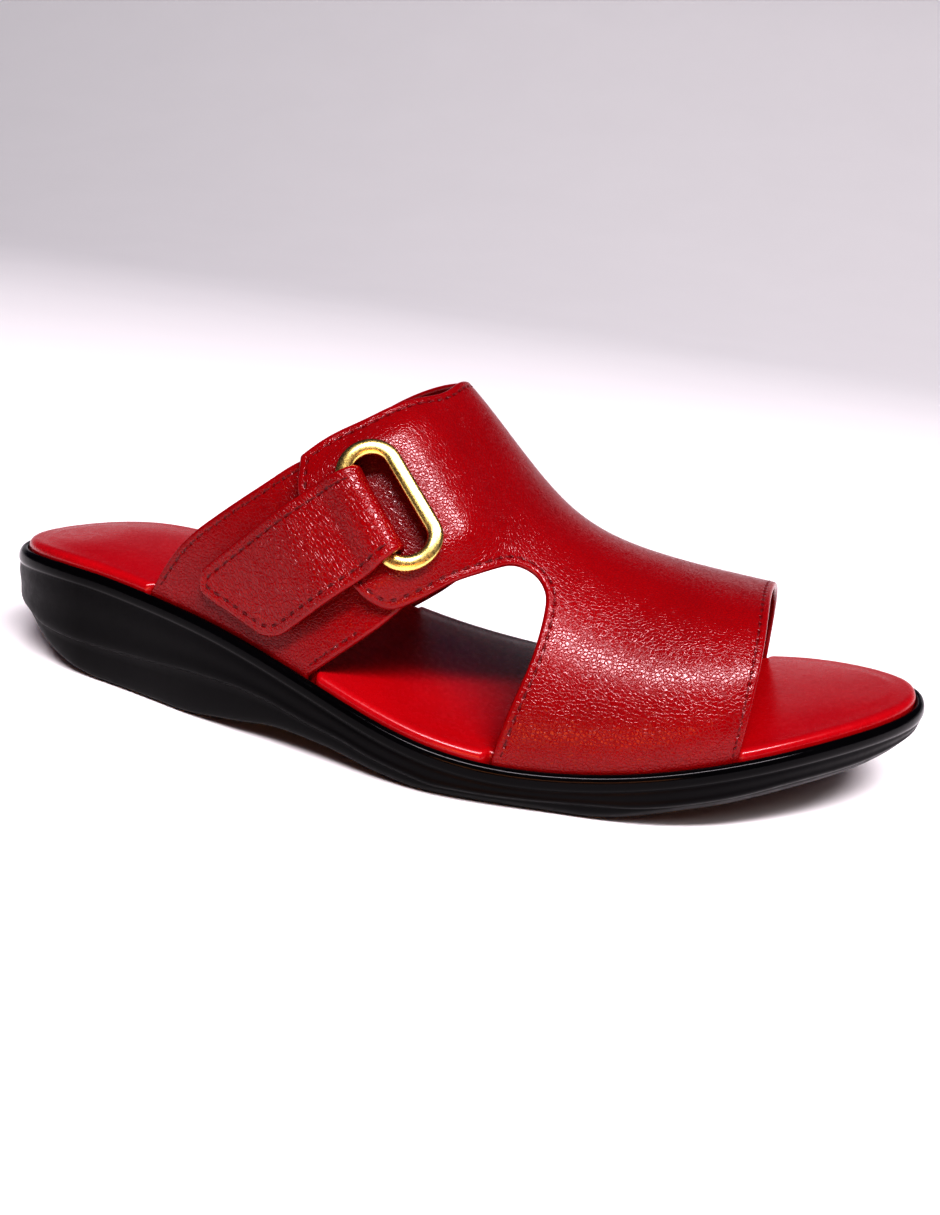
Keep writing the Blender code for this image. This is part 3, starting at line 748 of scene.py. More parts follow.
@dataclass(frozen=True)
class LeatherFinish:
    """Semi-gloss pebbled leather with drawn-in stitch rows and smooth folded edges; painted shade
    darkens the grain's creases, the stitch rows and the needle holes.
    """

    name: str = "red_leather"
    # deep: painted shade colour, laid into the grain's creases
    deep: Colour = (0.15, 0.0008, 0.004)
    full: Colour = (0.24, 0.0008, 0.0034)
    edge: Colour = (0.26, 0.0010, 0.0040)
    # hole: painted shade colour for the stitch row's valley and the needle holes
    hole: Colour = (0.05, 0.0005, 0.002)
    cells: float = 1120.0
    grain_mm: float = 0.055
    rub_mm: float = 0.03
    pull_mm: float = 0.22
    roughness: float = 0.17
    specular: float = 0.40
    pattern: Pattern = Pattern.PEBBLE
    wrinkle_scale: tuple[float, float, float] = (1.25, 0.62, 1.0)

    def material(self, effects: Effects) -> bpy.types.Material:
        """Builds the material.

        Args:
            effects: the shared shader groups.

        Returns:
            The finished material.
        """
        paint = Paint(self.name)
        if self.pattern is Pattern.WRINKLE:
            flat = paint.node("ShaderNodeUVMap", uv_map="pattern").outputs["UV"]
            place = paint.node("ShaderNodeMapping", {
                "Vector": flat, "Scale": self.wrinkle_scale}).outputs[0]
        else:
            place = paint.place()
        grain = paint.effect(effects.grain, {"Vector": place, "Cells per metre": self.cells})
        patina = paint.effect(effects.patina, {"Vector": place})
        seam = paint.effect(effects.seam, {
            "Seam mm": paint.kept("seam_mm"), "Phase": paint.kept("phase")})
        rim = paint.kept("edge_mm")
        inside = paint.spread(rim, 0.3, 0.9, 0.0, 1.0)
        fold = paint.spread(rim, 0.3, 0.9, 1.0, 0.0)

        worn = tuple(0.8 * channel for channel in self.full)
        # painted shade: the grain's creases darkened toward deep in the colour; the same crease
        # mask also raises the roughness
        crease_shade = paint.times(grain["Crease"], paint.times(inside, 0.60))
        tone = paint.blend(patina["Tone"], rgba(self.full), rgba(worn))
        tone = paint.blend(paint.times(fold, 0.6), tone, rgba(self.edge))
        tone = paint.blend(crease_shade, tone, rgba(self.deep))
        # painted shade: the stitch row's valley and the needle holes darkened toward hole in the
        # colour
        tone = paint.blend(paint.times(seam["Shade"], 0.75), tone, rgba(self.hole))
        rough = paint.rubbed(patina["Rub"], self.roughness, 0.05, 0.06)
        lift = paint.times(grain["Height"], self.grain_mm)
        lift = paint.times(lift, paint.spread(rim, 0.3, 1.1, 0.35, 1.0))
        lift = paint.plus(lift, paint.times(patina["Rub"], self.rub_mm))
        lift = paint.plus(lift, paint.times(seam["Height"], self.pull_mm))
        return paint.done({
            "Base Color": tone,
            "Roughness": paint.plus(rough, paint.times(crease_shade, 0.25)),
            "Normal": paint.bump(lift),
            "Specular IOR Level": self.specular,
        })


@dataclass(frozen=True)
class SmoothFinish:
    """Smooth satin surface with faint unevenness: footbed cover, lining or thread."""

    name: str
    colour: Colour
    shade: Colour
    roughness: float = 0.30
    wave_mm: float = 0.03
    waves: float = 110.0
    grain_mm: float = 0.010
    cells: float = 0.0
    coat: float = 0.0
    coat_roughness: float = 0.15

    def material(self, effects: Effects) -> bpy.types.Material:
        """Builds the material.

        Args:
            effects: the shared shader groups.

        Returns:
            The finished material.
        """
        paint = Paint(self.name)
        place = paint.place()
        patina = paint.effect(effects.patina, {"Vector": place})
        slow = paint.noise(place, self.waves, 1.0)
        lift = paint.times(slow.outputs["Fac"], self.wave_mm)
        if self.cells > 0:
            grain = paint.effect(effects.grain, {"Vector": place, "Cells per metre": self.cells})
            lift = paint.plus(lift, paint.times(grain["Height"], self.grain_mm))
        return paint.done({
            "Base Color": paint.blend(patina["Tone"], rgba(self.colour), rgba(self.shade)),
            "Roughness": paint.rubbed(patina["Rub"], self.roughness, 0.04, 0.05),
            "Normal": paint.bump(lift),
            "Coat Weight": self.coat,
            "Coat Roughness": self.coat_roughness,
        })


@dataclass(frozen=True)
class MouldedFinish:
    """Black moulded sole: satin side, glossier lip."""

    name: str = "black_sole"
    colour: Colour = (0.0012, 0.0011, 0.0014)
    dusty: Colour = (0.0024, 0.0022, 0.0028)
    satin: float = 0.38
    gloss: float = 0.14
    specular: float = 0.15
    skin: float = 1500.0

    def material(self, effects: Effects) -> bpy.types.Material:
        """Builds the material.

        Args:
            effects: the shared shader groups.

        Returns:
            The finished material.
        """
        paint = Paint(self.name)
        place = paint.place()
        patina = paint.effect(effects.patina, {"Vector": place})
        lip = paint.kept("lip")
        skin = paint.noise(place, self.skin, 2.0, Roughness=0.5)
        rough = paint.spread(lip, 0.0, 1.0, self.satin, self.gloss)
        rubbed = paint.spread(patina["Rub"], 0.35, 0.65, -0.03, 0.05)
        fine = paint.times(skin.outputs["Fac"], paint.spread(lip, 0.0, 1.0, 0.012, 0.003))
        return paint.done({
            "Base Color": paint.blend(patina["Tone"], rgba(self.colour), rgba(self.dusty)),
            "Roughness": paint.plus(rough, rubbed),
            "Normal": paint.bump(paint.plus(fine, paint.times(patina["Rub"], 0.02))),
            "Specular IOR Level": self.specular,
        })


@dataclass(frozen=True)
class GoldFinish:
    """Polished pale gold plating with faint unevenness."""

    name: str = "gold_ring"
    colour: Colour = (0.88, 0.73, 0.27)
    deep: Colour = (0.72, 0.54, 0.15)
    roughness: float = 0.27
    patches: float = 120.0

    def material(self, effects: Effects) -> bpy.types.Material:
        """Builds the material.

        Args:
            effects: the shared shader groups.

        Returns:
            The finished material.
        """
        paint = Paint(self.name)
        patina = paint.effect(effects.patina, {
            "Vector": paint.place(), "Patches per metre": self.patches})
        tone = paint.blend(patina["Tone"], rgba(self.colour), rgba(self.deep))
        return paint.done({
            "Base Color": paint.blend(0.6, tone, rgba(self.colour)),
            "Roughness": paint.rubbed(patina["Rub"], self.roughness, 0.04, 0.06),
            "Normal": paint.bump(paint.times(patina["Rub"], 0.004)),
            "Metallic": 1.0,
        })


@dataclass
class Wardrobe:
    """Every finish of the sandal, built once."""

    effects: Effects = field(default_factory=Effects)

    def __post_init__(self) -> None:
        """Builds the materials."""
        self.leather = LeatherFinish().material(self.effects)
        self.tab_leather = LeatherFinish(
            name="red_leather_tab", full=(0.25, 0.0010, 0.0030), cells=1150.0, grain_mm=0.105,
            pattern=Pattern.WRINKLE).material(self.effects)
        self.lining = SmoothFinish(
            "red_lining", (0.26, 0.0015, 0.006), (0.21, 0.0012, 0.005), roughness=0.45,
            cells=1500.0, grain_mm=0.02).material(self.effects)
        self.footbed = SmoothFinish(
            "red_footbed", (0.36, 0.0012, 0.0065), (0.33, 0.0011, 0.0060), roughness=0.26,
            coat=0.12).material(self.effects)
        self.thread = SmoothFinish(
            "dark_red_thread", (0.13, 0.0008, 0.004), (0.09, 0.0006, 0.003), roughness=0.6,
            cells=5200.0, grain_mm=0.03).material(self.effects)
        self.sole = MouldedFinish().material(self.effects)
        self.gold = GoldFinish().material(self.effects)


def solid(name: str, last: Last, verts: Array, faces: Sequence[Sequence[int]],
          materials: Sequence[bpy.types.Material], slots: Array | None = None) -> bpy.types.Object:
    """Mesh object in the part's frame.

    Args:
        name: the piece's name.
        last: the foot form, which gives the shift to the part's origin.
        verts: points in the last's own place.
        faces: corner numbers of each face.
        materials: the piece's materials.
        slots: number of each face's material.

    Returns:
        The new object.
    """
    mesh = bpy.data.meshes.new(name)
    placed = np.asarray(verts, float) - (last.length / 2, last.middle(), 0.0)
    mesh.from_pydata(placed.tolist(), [], faces)
    for material in materials:
        mesh.materials.append(material)
    if slots is not None:
        mesh.polygons.foreach_set("material_index", np.asarray(slots, np.int32))
    mesh.shade_smooth()
    mesh.update()
    made = bpy.data.objects.new(name, mesh)
    bpy.context.scene.collection.objects.link(made)
    return made


def measure(piece: bpy.types.Object, name: str, values: Array) -> None:
    """Keeps one number per point as a named attribute."""
    layer = piece.data.attributes.new(name, "FLOAT", "POINT")
    layer.data.foreach_set("value", np.asarray(values, np.float32))


def dress(piece: bpy.types.Object, slot: str, *nodes: str) -> None:
    """Puts a piece on the part.

    Args:
        piece: the finished piece.
        slot: name of the record's material slot; not used.
        nodes: the part's nodes that it stands for.
    """
    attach(piece, "root")
    if nodes:
        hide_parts(*nodes)
    piece.data.calc_loop_triangles()
    LOG.info("%s: %d triangles", piece.name, len(piece.data.loop_triangles))


def within(points: Array, outline: Array) -> Array:
    """True for each point inside a closed outline."""
    result = np.zeros(len(points), bool)
    x1 = np.roll(outline[:, 0], -1)
    y1 = np.roll(outline[:, 1], -1)
    rise = np.where(y1 == outline[:, 1], 1.0, y1 - outline[:, 1])
    for start in range(0, len(points), 4000):
        x = points[start:start + 4000, :1]
        y = points[start:start + 4000, 1:]
        crosses = (outline[None, :, 1] > y) != (y1[None] > y)
        slant = (x1 - outline[:, 0])[None] * (y - outline[None, :, 1]) / rise[None]
        left = x < slant + outline[None, :, 0]
        result[start:start + 4000] = (crosses & left).sum(1) % 2 == 1
    return result


class EdgeRuler:
    """Distance from any point to a set of lines, and where along them it falls."""

    def __init__(self, lines: Sequence[Array], closed: bool) -> None:
        """Prepares the search.

        Args:
            lines: each line's points in space.
            closed: whether each line returns to its first point.
        """
        self.starts = np.concatenate(list(lines))
        ends = []
        runs = []
        for points in lines:
            after = np.roll(points, -1, 0)
            if not closed:
                after[-1] = points[-1]
            ends.append(after)
            runs.append(run_along(points))
        self.ends = np.concatenate(ends)
        self.runs = np.concatenate(runs)
        self.before = np.concatenate([
            np.roll(np.arange(len(points)), 1) + offset
            for points, offset in zip(lines, np.cumsum([0] + [len(p) for p in lines[:-1]]))])
        self.tree = kdtree.KDTree(len(self.starts))
        for i, point in enumerate(self.starts):
            self.tree.insert(point, i)
        self.tree.balance()

    def _to_piece(self, points: Array, index: Array) -> tuple[Array, Array]:
        """Distance to one stretch of line each, and the length along it."""
        start = self.starts[index]
        along = self.ends[index] - start
        size = np.maximum((along ** 2).sum(1), 1e-18)
        share = np.clip(((points - start) * along).sum(1) / size, 0, 1)
        away = np.linalg.norm(points - start - along * share[:, None], axis=1)
        return away, self.runs[index] + share * np.sqrt(size)

    def read(self, points: Array) -> tuple[Array, Array]:
        """Distance to the nearest line and the length along it.

        Args:
            points: points in space.

        Returns:
            Distances and lengths.
        """
        index = np.array([self.tree.find(point)[1] for point in points])
        after, run_after = self._to_piece(points, index)
        behind, run_behind = self._to_piece(points, self.before[index])
        nearer = behind < after
        return np.where(nearer, behind, after), np.where(nearer, run_behind, run_after)


@dataclass
class LeatherPanel:
    """One lined leather piece, cut in the flat, with a folded edge and its stitch rows."""

    name: str
    lay: Callable[[Array], tuple[Array, Array]]
    lift: Callable[[Array], Array]
    outline: Array
    holes: tuple[Array, ...] = ()
    wall: float = 0.0018
    step: float = 0.0012
    border_step: float = 0.0007
    seam_depth: float = 0.0020
    seam_pitch: float = 0.0031
    sewn: Callable[[Array], Array] = lambda flat: np.ones(len(flat), bool)
    valley: float = 0.00008
    lining_from: float = 0.0014
    lining_step: float = 0.00018
    rows_mm: tuple[float, ...] = (
        0.05, 0.14, 0.28, 0.5, 0.75, 1.05, 1.35, 1.65, 2.0, 2.35, 2.8, 3.5, 4.3)
    least_seam: int = 12

    def __post_init__(self) -> None:
        """Evens the borders and measures them."""
        self.borders = [self._even(border) for border in (self.outline, *self.holes)]
        self.ruler = EdgeRuler([self.lay(border)[0] for border in self.borders], closed=True)
        self.seams = self._seam_lines()
        self.seam_ruler = EdgeRuler([line for line, _ in self.seams], closed=False)

    def _even(self, border: Array) -> Array:
        """Border points at equal distances on the curved surface."""
        closed = np.vstack([border, border[:1]])
        run = run_along(self.lay(closed)[0])
        at = np.linspace(0, run[-1], int(round(run[-1] / self.border_step)), endpoint=False)
        return np.column_stack([np.interp(at, run, closed[:, k]) for k in (0, 1)])

    def _march(self, number: int, depth: float, steps: int = 5) -> Array:
        """Flat points of a row inside one border.

        Args:
            number: which border.
            depth: distance of the row from it.
            steps: how many small moves it takes.

        Returns:
            Points of the flat pattern, one for each border point.
        """
        flat = self.borders[number].copy()
        points, normals = self.lay(flat)
        after = np.roll(flat, -1, 0)
        area = (flat[:, 0] * after[:, 1] - after[:, 0] * flat[:, 1]).sum()
        sign = math.copysign(1.0, area) * (1 if number == 0 else -1)
        tangent = unit(np.roll(points, -1, 0) - np.roll(points, 1, 0))
        inward = unit(np.cross(normals, tangent)) * sign
        small = 1e-5
        for _ in range(steps):
            here = self.lay(flat)[0]
            du = (self.lay(flat + (small, 0))[0] - here) / small
            dv = (self.lay(flat + (0, small))[0] - here) / small
            a, b, c = (du * du).sum(1), (du * dv).sum(1), (dv * dv).sum(1)
            p, q = (du * inward).sum(1), (dv * inward).sum(1)
            det = a * c - b * b
            move = np.column_stack([(p * c - q * b) / det, (q * a - p * b) / det])
            flat = flat + move * depth / steps
        return flat

    def _seam_lines(self) -> list[tuple[Array, Array]]:
        """Stitch rows as lines on the base surface, with their flat points."""
        flat = self._march(0, self.seam_depth)
        points = self.lay(flat)[0]
        away = self.ruler.read(points)[0]
        good = (away > self.seam_depth * 0.96) & self.sewn(flat)
        if good.all():
            return [(points, flat)]
        first = int(np.argmin(good))
        order = np.roll(np.arange(len(flat)), -first)
        lines = []
        current: list[int] = []
        gap = 0
        for i in order:
            if good[i]:
                current.append(int(i))
                gap = 0
                continue
            gap += 1
            if gap > self.least_seam and current:
                lines.append(current)
                current = []
        if current:
            lines.append(current)
        return [(points[line], flat[line]) for line in lines if len(line) > self.least_seam]

    def relief(self, edge: Array) -> Array:
        """Height of the outer face over its plain level, by distance from the edge."""
        return -self.valley * np.exp(-((edge - self.seam_depth) / 0.0006) ** 2)

    def _points(self) -> Array:
        """All points of the flat pattern: borders, rows inside them and the field."""
        points = list(self.borders)
        for k, depth in enumerate(self.rows_mm):
            for number in range(len(self.borders)):
                row = self._march(number, depth * MM)
                row = row[k % 2::2] if depth > 1.5 else row
                away = self.ruler.read(self.lay(row)[0])[0]
                points.append(row[away > depth * MM * 0.97])
        low = self.outline.min(0)
        high = self.outline.max(0)
        grid = []
        for number, y in enumerate(np.arange(low[1], high[1], self.step * 0.87)):
            x = np.arange(low[0] + (number % 2) * self.step / 2, high[0], self.step)
            grid.append(np.column_stack([x, np.full(len(x), y)]))
        field_points = np.concatenate(grid)
        field_points = field_points[self._inside(field_points)]
        away = self.ruler.read(self.lay(field_points)[0])[0]
        points.append(field_points[away > self.rows_mm[-1] * MM + self.step * 0.6])
        return np.concatenate(points)

    def _inside(self, points: Array) -> Array:
        """True for each flat point on the leather."""
        kept = within(points, self.borders[0])
        for hole in self.borders[1:]:
            kept &= ~within(points, hole)
        return kept

    def _cut(self) -> tuple[Array, Array]:
        """Flat points of the piece and the triangles between them."""
        edges = []
        start = 0
        for border in self.borders:
            count = len(border)
            edges += [(start + i, start + (i + 1) % count) for i in range(count)]
            start += count
        made = delaunay_2d_cdt([tuple(p) for p in self._points()], edges, [], 0, 1e-8)
        flat = np.array([tuple(p) for p in made[0]])
        triangles = np.array([tuple(t) for t in made[2]])
        triangles = triangles[self._inside(flat[triangles].mean(1))]
        used = np.unique(triangles)
        renumber = np.full(len(flat), -1)
        renumber[used] = np.arange(len(used))
        return flat[used], renumber[triangles]

    @staticmethod
    def _rim(triangles: Array, count: int) -> Array:
        """True for each of the points on a side that only one triangle has."""
        sides = np.concatenate([triangles[:, pair] for pair in ([0, 1], [1, 2], [2, 0])])
        pairs, uses = np.unique(np.sort(sides, 1), axis=0, return_counts=True)
        rim = np.zeros(count, bool)
        rim[pairs[uses == 1].ravel()] = True
        return rim

    def build(self, last: Last, leather: bpy.types.Material,
              lining: bpy.types.Material) -> bpy.types.Object:
        """Makes the closed piece.

        Args:
            last: the foot form.
            leather: finish of the outer face and the folded edge.
            lining: finish of the inner face.

        Returns:
            The new object.
        """
        flat, triangles = self._cut()
        count = len(flat)
        base, normal = self.lay(flat)
        rim = self._rim(triangles, count)
        edge = np.where(rim, 0.0, np.maximum(self.ruler.read(base)[0], 1e-6))
        radius = self.wall / 2
        past = np.clip(radius - edge, 0, None)
        tuck_in = radius - np.sqrt(np.clip(radius ** 2 - past ** 2, 0, None))
        lift = self.lift(flat)
        raised = lift + self.relief(edge) * ease(0, radius, edge) - tuck_in
        fade = 0.0002
        sunk = self.lining_step * ease(self.lining_from - fade, self.lining_from + fade, edge)
        outer = base + normal * raised[:, None]
        inner = base + normal * (lift - self.wall + tuck_in + sunk)[:, None]
        below = np.arange(count)
        below[~rim] = count + np.arange((~rim).sum())
        faces = np.concatenate([triangles, below[triangles][:, ::-1]])
        lined = (edge[triangles].min(1) > self.lining_from - fade / 2).astype(int)
        slots = np.concatenate([np.zeros(len(triangles), int), lined])
        verts = np.concatenate([outer, inner[~rim]])
        piece = solid(self.name, last, verts, faces.tolist(), (leather, lining), slots)

        source = np.concatenate([np.arange(count), np.arange(count)[~rim]])
        seam, run = self.seam_ruler.read(base)
        on_face = np.arange(len(source)) < count
        measure(piece, "edge_mm", edge[source] / MM)
        measure(piece, "seam_mm", np.where(on_face, seam[source] / MM, 9.0))
        measure(piece, "phase", run[source] / self.seam_pitch)
        layer = piece.data.uv_layers.new(name="pattern")
        corner = np.empty(len(piece.data.loops), np.int32)
        piece.data.loops.foreach_get("vertex_index", corner)
        layer.data.foreach_set("uv", flat[source][corner].astype(np.float32).ravel())
        return piece

    def stitch_lines(self) -> list[tuple[Array, Array]]:
        """Each stitch row on the finished face.

        Returns:
            Points and upward directions of each row.
        """
        lines = []
        for points, flat in self.seams:
            base, normal = self.lay(flat)
            edge = self.ruler.read(base)[0]
            top = base + normal * (self.lift(flat) + self.relief(edge))[:, None]
            lines.append((top, normal))
        return lines


@dataclass
class StitchRow:
    """Thread laid along lines by a Geometry Nodes tree."""

    pitch: float = 0.0031
    length: float = 0.0019
    thickness: float = 0.00044
    seed: int = 7

    def tree(self) -> bpy.types.NodeTree:
        """Builds the tree: a line of points in, one bent thread per stitch out.

        Returns:
            The new tree.
        """
        tree = bpy.data.node_groups.new("stitch_row", "GeometryNodeTree")
        face = tree.interface
        face.new_socket("Geometry", in_out="INPUT", socket_type="NodeSocketGeometry")
        for label, kind, default in (
            ("Pitch", "NodeSocketFloat", self.pitch),
            ("Stitch length", "NodeSocketFloat", self.length),
            ("Thread thickness", "NodeSocketFloat", self.thickness),
            ("Seed", "NodeSocketInt", self.seed),
            ("Thread", "NodeSocketMaterial", None),
        ):
            made = face.new_socket(label, in_out="INPUT", socket_type=kind)
            if default is not None:
                made.default_value = default
        face.new_socket("Geometry", in_out="OUTPUT", socket_type="NodeSocketGeometry")
        bench = Bench(tree)
        given = bench.node("NodeGroupInput").outputs
        line = bench.node("GeometryNodeMeshToCurve", {"Mesh": given["Geometry"]})
        spaced = bench.node("GeometryNodeResampleCurve", {
            "Curve": line.outputs[0], "Length": given["Pitch"]}, mode="LENGTH")
        up = bench.node("GeometryNodeInputNamedAttribute", {"Name": "up"}, data_type="FLOAT_VECTOR")
        along = bench.node("GeometryNodeInputTangent")
        turned = bench.node("FunctionNodeAlignRotationToVector", {
            "Vector": along.outputs[0]}, axis="X")
        upright = bench.node("FunctionNodeAlignRotationToVector", {
            "Rotation": turned.outputs[0], "Vector": up.outputs["Attribute"]},
            axis="Z", pivot_axis="X")
        swing = bench.node("FunctionNodeRandomValue", {
            "Seed": given["Seed"]}, data_type="FLOAT_VECTOR")
        swing.inputs[0].default_value = (-0.04, -0.03, -0.09)
        swing.inputs[1].default_value = (0.04, 0.03, 0.09)
        loose = bench.node("FunctionNodeRotateRotation", {
            "Rotation": upright.outputs[0], "Rotate By": swing.outputs[0]}, rotation_space="LOCAL")
        half = bench.maths("MULTIPLY", given["Stitch length"], 0.5)
        less = bench.maths("MULTIPLY", half, -1.0)
        dive = bench.maths("MULTIPLY", given["Thread thickness"], -0.85)
        crest = bench.maths("MULTIPLY", given["Thread thickness"], 0.75)
        start = bench.node("ShaderNodeCombineXYZ", {0: less, 2: dive})
        top = bench.node("ShaderNodeCombineXYZ", {2: crest})
        end = bench.node("ShaderNodeCombineXYZ", {0: half, 2: dive})
        thread = bench.node("GeometryNodeCurveQuadraticBezier", {
            "Resolution": 6, "Start": start.outputs[0], "Middle": top.outputs[0],
            "End": end.outputs[0]})
        radius = bench.maths("MULTIPLY", given["Thread thickness"], 0.5)
        ring = bench.node("GeometryNodeCurvePrimitiveCircle", {"Resolution": 6, "Radius": radius})
        body = bench.node("GeometryNodeCurveToMesh", {
            "Curve": thread.outputs[0], "Profile Curve": ring.outputs[0], "Fill Caps": True})
        laid = bench.node("GeometryNodeInstanceOnPoints", {
            "Points": spaced.outputs[0], "Instance": body.outputs[0], "Rotation": loose.outputs[0]})
        real = bench.node("GeometryNodeRealizeInstances", {"Geometry": laid.outputs[0]})
        dyed = bench.node("GeometryNodeSetMaterial", {
            "Geometry": real.outputs[0], "Material": given["Thread"]})
        bench.node("NodeGroupOutput", {"Geometry": dyed.outputs[0]})
        return tree

    def sew(self, name: str, last: Last, lines: Sequence[tuple[Array, Array]],
            thread: bpy.types.Material) -> bpy.types.Object:
        """Sews stitches along lines.

        Args:
            name: the piece's name.
            last: the foot form.
            lines: points and upward directions of each row.
            thread: the thread's finish.

        Returns:
            The stitches as one plain mesh.
        """
        points = []
        ups = []
        edges = []
        for line, up in lines:
            start = sum(len(p) for p in points)
            run = run_along(line)
            count = max(2, int(round(run[-1] / 0.0008)))
            at = np.linspace(0, run[-1], count)
            points.append(np.column_stack([np.interp(at, run, line[:, k]) for k in range(3)]))
            ups.append(unit(np.column_stack([np.interp(at, run, up[:, k]) for k in range(3)])))
            edges += [(start + i, start + i + 1) for i in range(count - 1)]
        placed = np.concatenate(points) - (last.length / 2, last.middle(), 0.0)
        mesh = bpy.data.meshes.new(name + "_line")
        mesh.from_pydata(placed.tolist(), edges, [])
        layer = mesh.attributes.new("up", "FLOAT_VECTOR", "POINT")
        layer.data.foreach_set("vector", np.concatenate(ups).astype(np.float32).ravel())
        guide = bpy.data.objects.new(name + "_line", mesh)
        bpy.context.scene.collection.objects.link(guide)
        tree = self.tree()
        modifier = guide.modifiers.new("stitches", "NODES")
        modifier.node_group = tree
        values = {"Pitch": self.pitch, "Stitch length": self.length,
                  "Thread thickness": self.thickness, "Seed": self.seed, "Thread": thread}
        for item in tree.interface.items_tree:
            if item.item_type == "SOCKET" and item.in_out == "INPUT" and item.name in values:
                modifier[item.identifier] = values[item.name]
        graph = bpy.context.evaluated_depsgraph_get()
        plain = bpy.data.meshes.new_from_object(guide.evaluated_get(graph))
        guide.modifiers.clear()
        bpy.data.objects.remove(guide, do_unlink=True)
        plain.name = name
        plain.shade_smooth()
        made = bpy.data.objects.new(name, plain)
        bpy.context.scene.collection.objects.link(made)
        return made


@dataclass
class Upper:
    """Vamp, instep, inner leg and slotted flap in one leather wall."""

    last: Last
    frame: ClosureFrame
    front_edge: Table = ((0.828, -1.0), (0.829, -0.5), (0.825, 0.0), (0.831, 0.5), (0.835, 1.0))
    inner_cut: Table = (
        (0.603, 1.0), (0.607, 0.89), (0.611, 0.78), (0.613, 0.67), (0.611, 0.565),
        (0.603, 0.505), (0.586, 0.487), (0.564, 0.520), (0.539, 0.610), (0.505, 0.757),
        (0.464, 0.908), (0.425, 1.0),
    )
    collar_edge: Table = (
        (0.200, 1.0), (0.256, 0.850), (0.318, 0.703), (0.380, 0.540), (0.444, 0.317),
        (0.474, 0.120), (0.476, -0.050), (0.472, -0.167), (0.453, -0.296), (0.433, -0.396),
        (0.411, -0.485), (0.388, -0.557), (0.365, -0.631),
    )
    flap_edge: Table = (
        (0.365, -0.631), (0.376, -0.700), (0.405, -0.752), (0.440, -0.780), (0.462, -0.790),
        (0.480, -0.785), (0.504, -0.734), (0.519, -0.686), (0.536, -0.621), (0.554, -0.554),
        (0.573, -0.475), (0.588, -0.425), (0.606, -0.411), (0.616, -0.435), (0.622, -0.497),
        (0.6235, -0.582), (0.622, -0.681), (0.616, -0.794), (0.610, -0.904), (0.606, -1.0),
    )

    def slot(self) -> Array:
        """The flap's slot under the ring, in the flat."""
        z = self.frame.sizes
        radius = z.ring_width / 2 - z.ring_band + z.slot_margin
        straight = (z.ring_length - z.ring_width) / 2
        angle = np.linspace(0, math.pi, 25)
        end = np.stack([radius * np.cos(angle), straight + radius * np.sin(angle)])
        back, across = np.concatenate([end, -end], 1)
        share, girth = self.frame.find(back, across)
        return np.column_stack([share * self.last.length, girth * self.last.girth_scale])

    def panel(self) -> LeatherPanel:
        """Cuts the leather.

        Returns:
            The panel, ready to build.
        """
        last = self.last
        depth = self.frame.sizes.leg_depth()
        outline = np.concatenate([
            last.draw(self.front_edge)[:-1],
            last.leg(self.front_edge[-1][0], self.inner_cut[0][0], 1, depth),
            last.draw(self.inner_cut)[1:-1],
            last.leg(self.inner_cut[-1][0], self.collar_edge[0][0], 1, depth),
            last.draw(self.collar_edge)[1:-1],
            last.draw(self.flap_edge)[:-1],
            last.leg(self.flap_edge[-1][0], self.front_edge[0][0], -1, depth),
        ])

        def lift(flat: Array) -> Array:
            """Lift of the flap."""
            return self.frame.flap_lift(flat[:, 0] / last.length, flat[:, 1] / last.girth_scale)

        def sewn(flat: Array) -> Array:
            """Sewn where it stands clear of the sole."""
            return np.abs(flat[:, 1]) < last.girth_scale * 0.975

        return LeatherPanel("upper", last.lay, lift, outline, (self.slot(),),
                            wall=self.frame.sizes.wall, sewn=sewn)


@dataclass
class SideStrap:
    """Strap from the outer side of the heel, up under the flap."""

    last: Last
    sizes: Sizes
    edge: Table = (
        (0.216, -1.0), (0.249, -0.895), (0.280, -0.827), (0.310, -0.764), (0.337, -0.703),
        (0.363, -0.640), (0.385, -0.597), (0.412, -0.545), (0.4425, -0.480), (0.470, -0.468),
        (0.497, -0.500), (0.515, -0.560), (0.519, -0.620), (0.508, -0.699), (0.482, -0.808),
        (0.448, -0.909), (0.413, -1.0),
    )

    def panel(self) -> LeatherPanel:
        """Cuts the leather.

        Returns:
            The panel, ready to build.
        """
        last = self.last
        outline = np.concatenate([
            last.draw(self.edge)[::-1],
            last.leg(self.edge[0][0], self.edge[-1][0], -1, self.sizes.leg_depth())[1:-1],
        ])

        def sewn(flat: Array) -> Array:
            """Sewn where it stands clear of the sole and of the flap."""
            clear = flat[:, 0] < last.length * 0.455
            return clear & (np.abs(flat[:, 1]) < last.girth_scale * 0.975)

        return LeatherPanel("side_strap", last.lay, lambda flat: np.zeros(len(flat)), outline,
                            wall=self.sizes.wall, sewn=sewn)


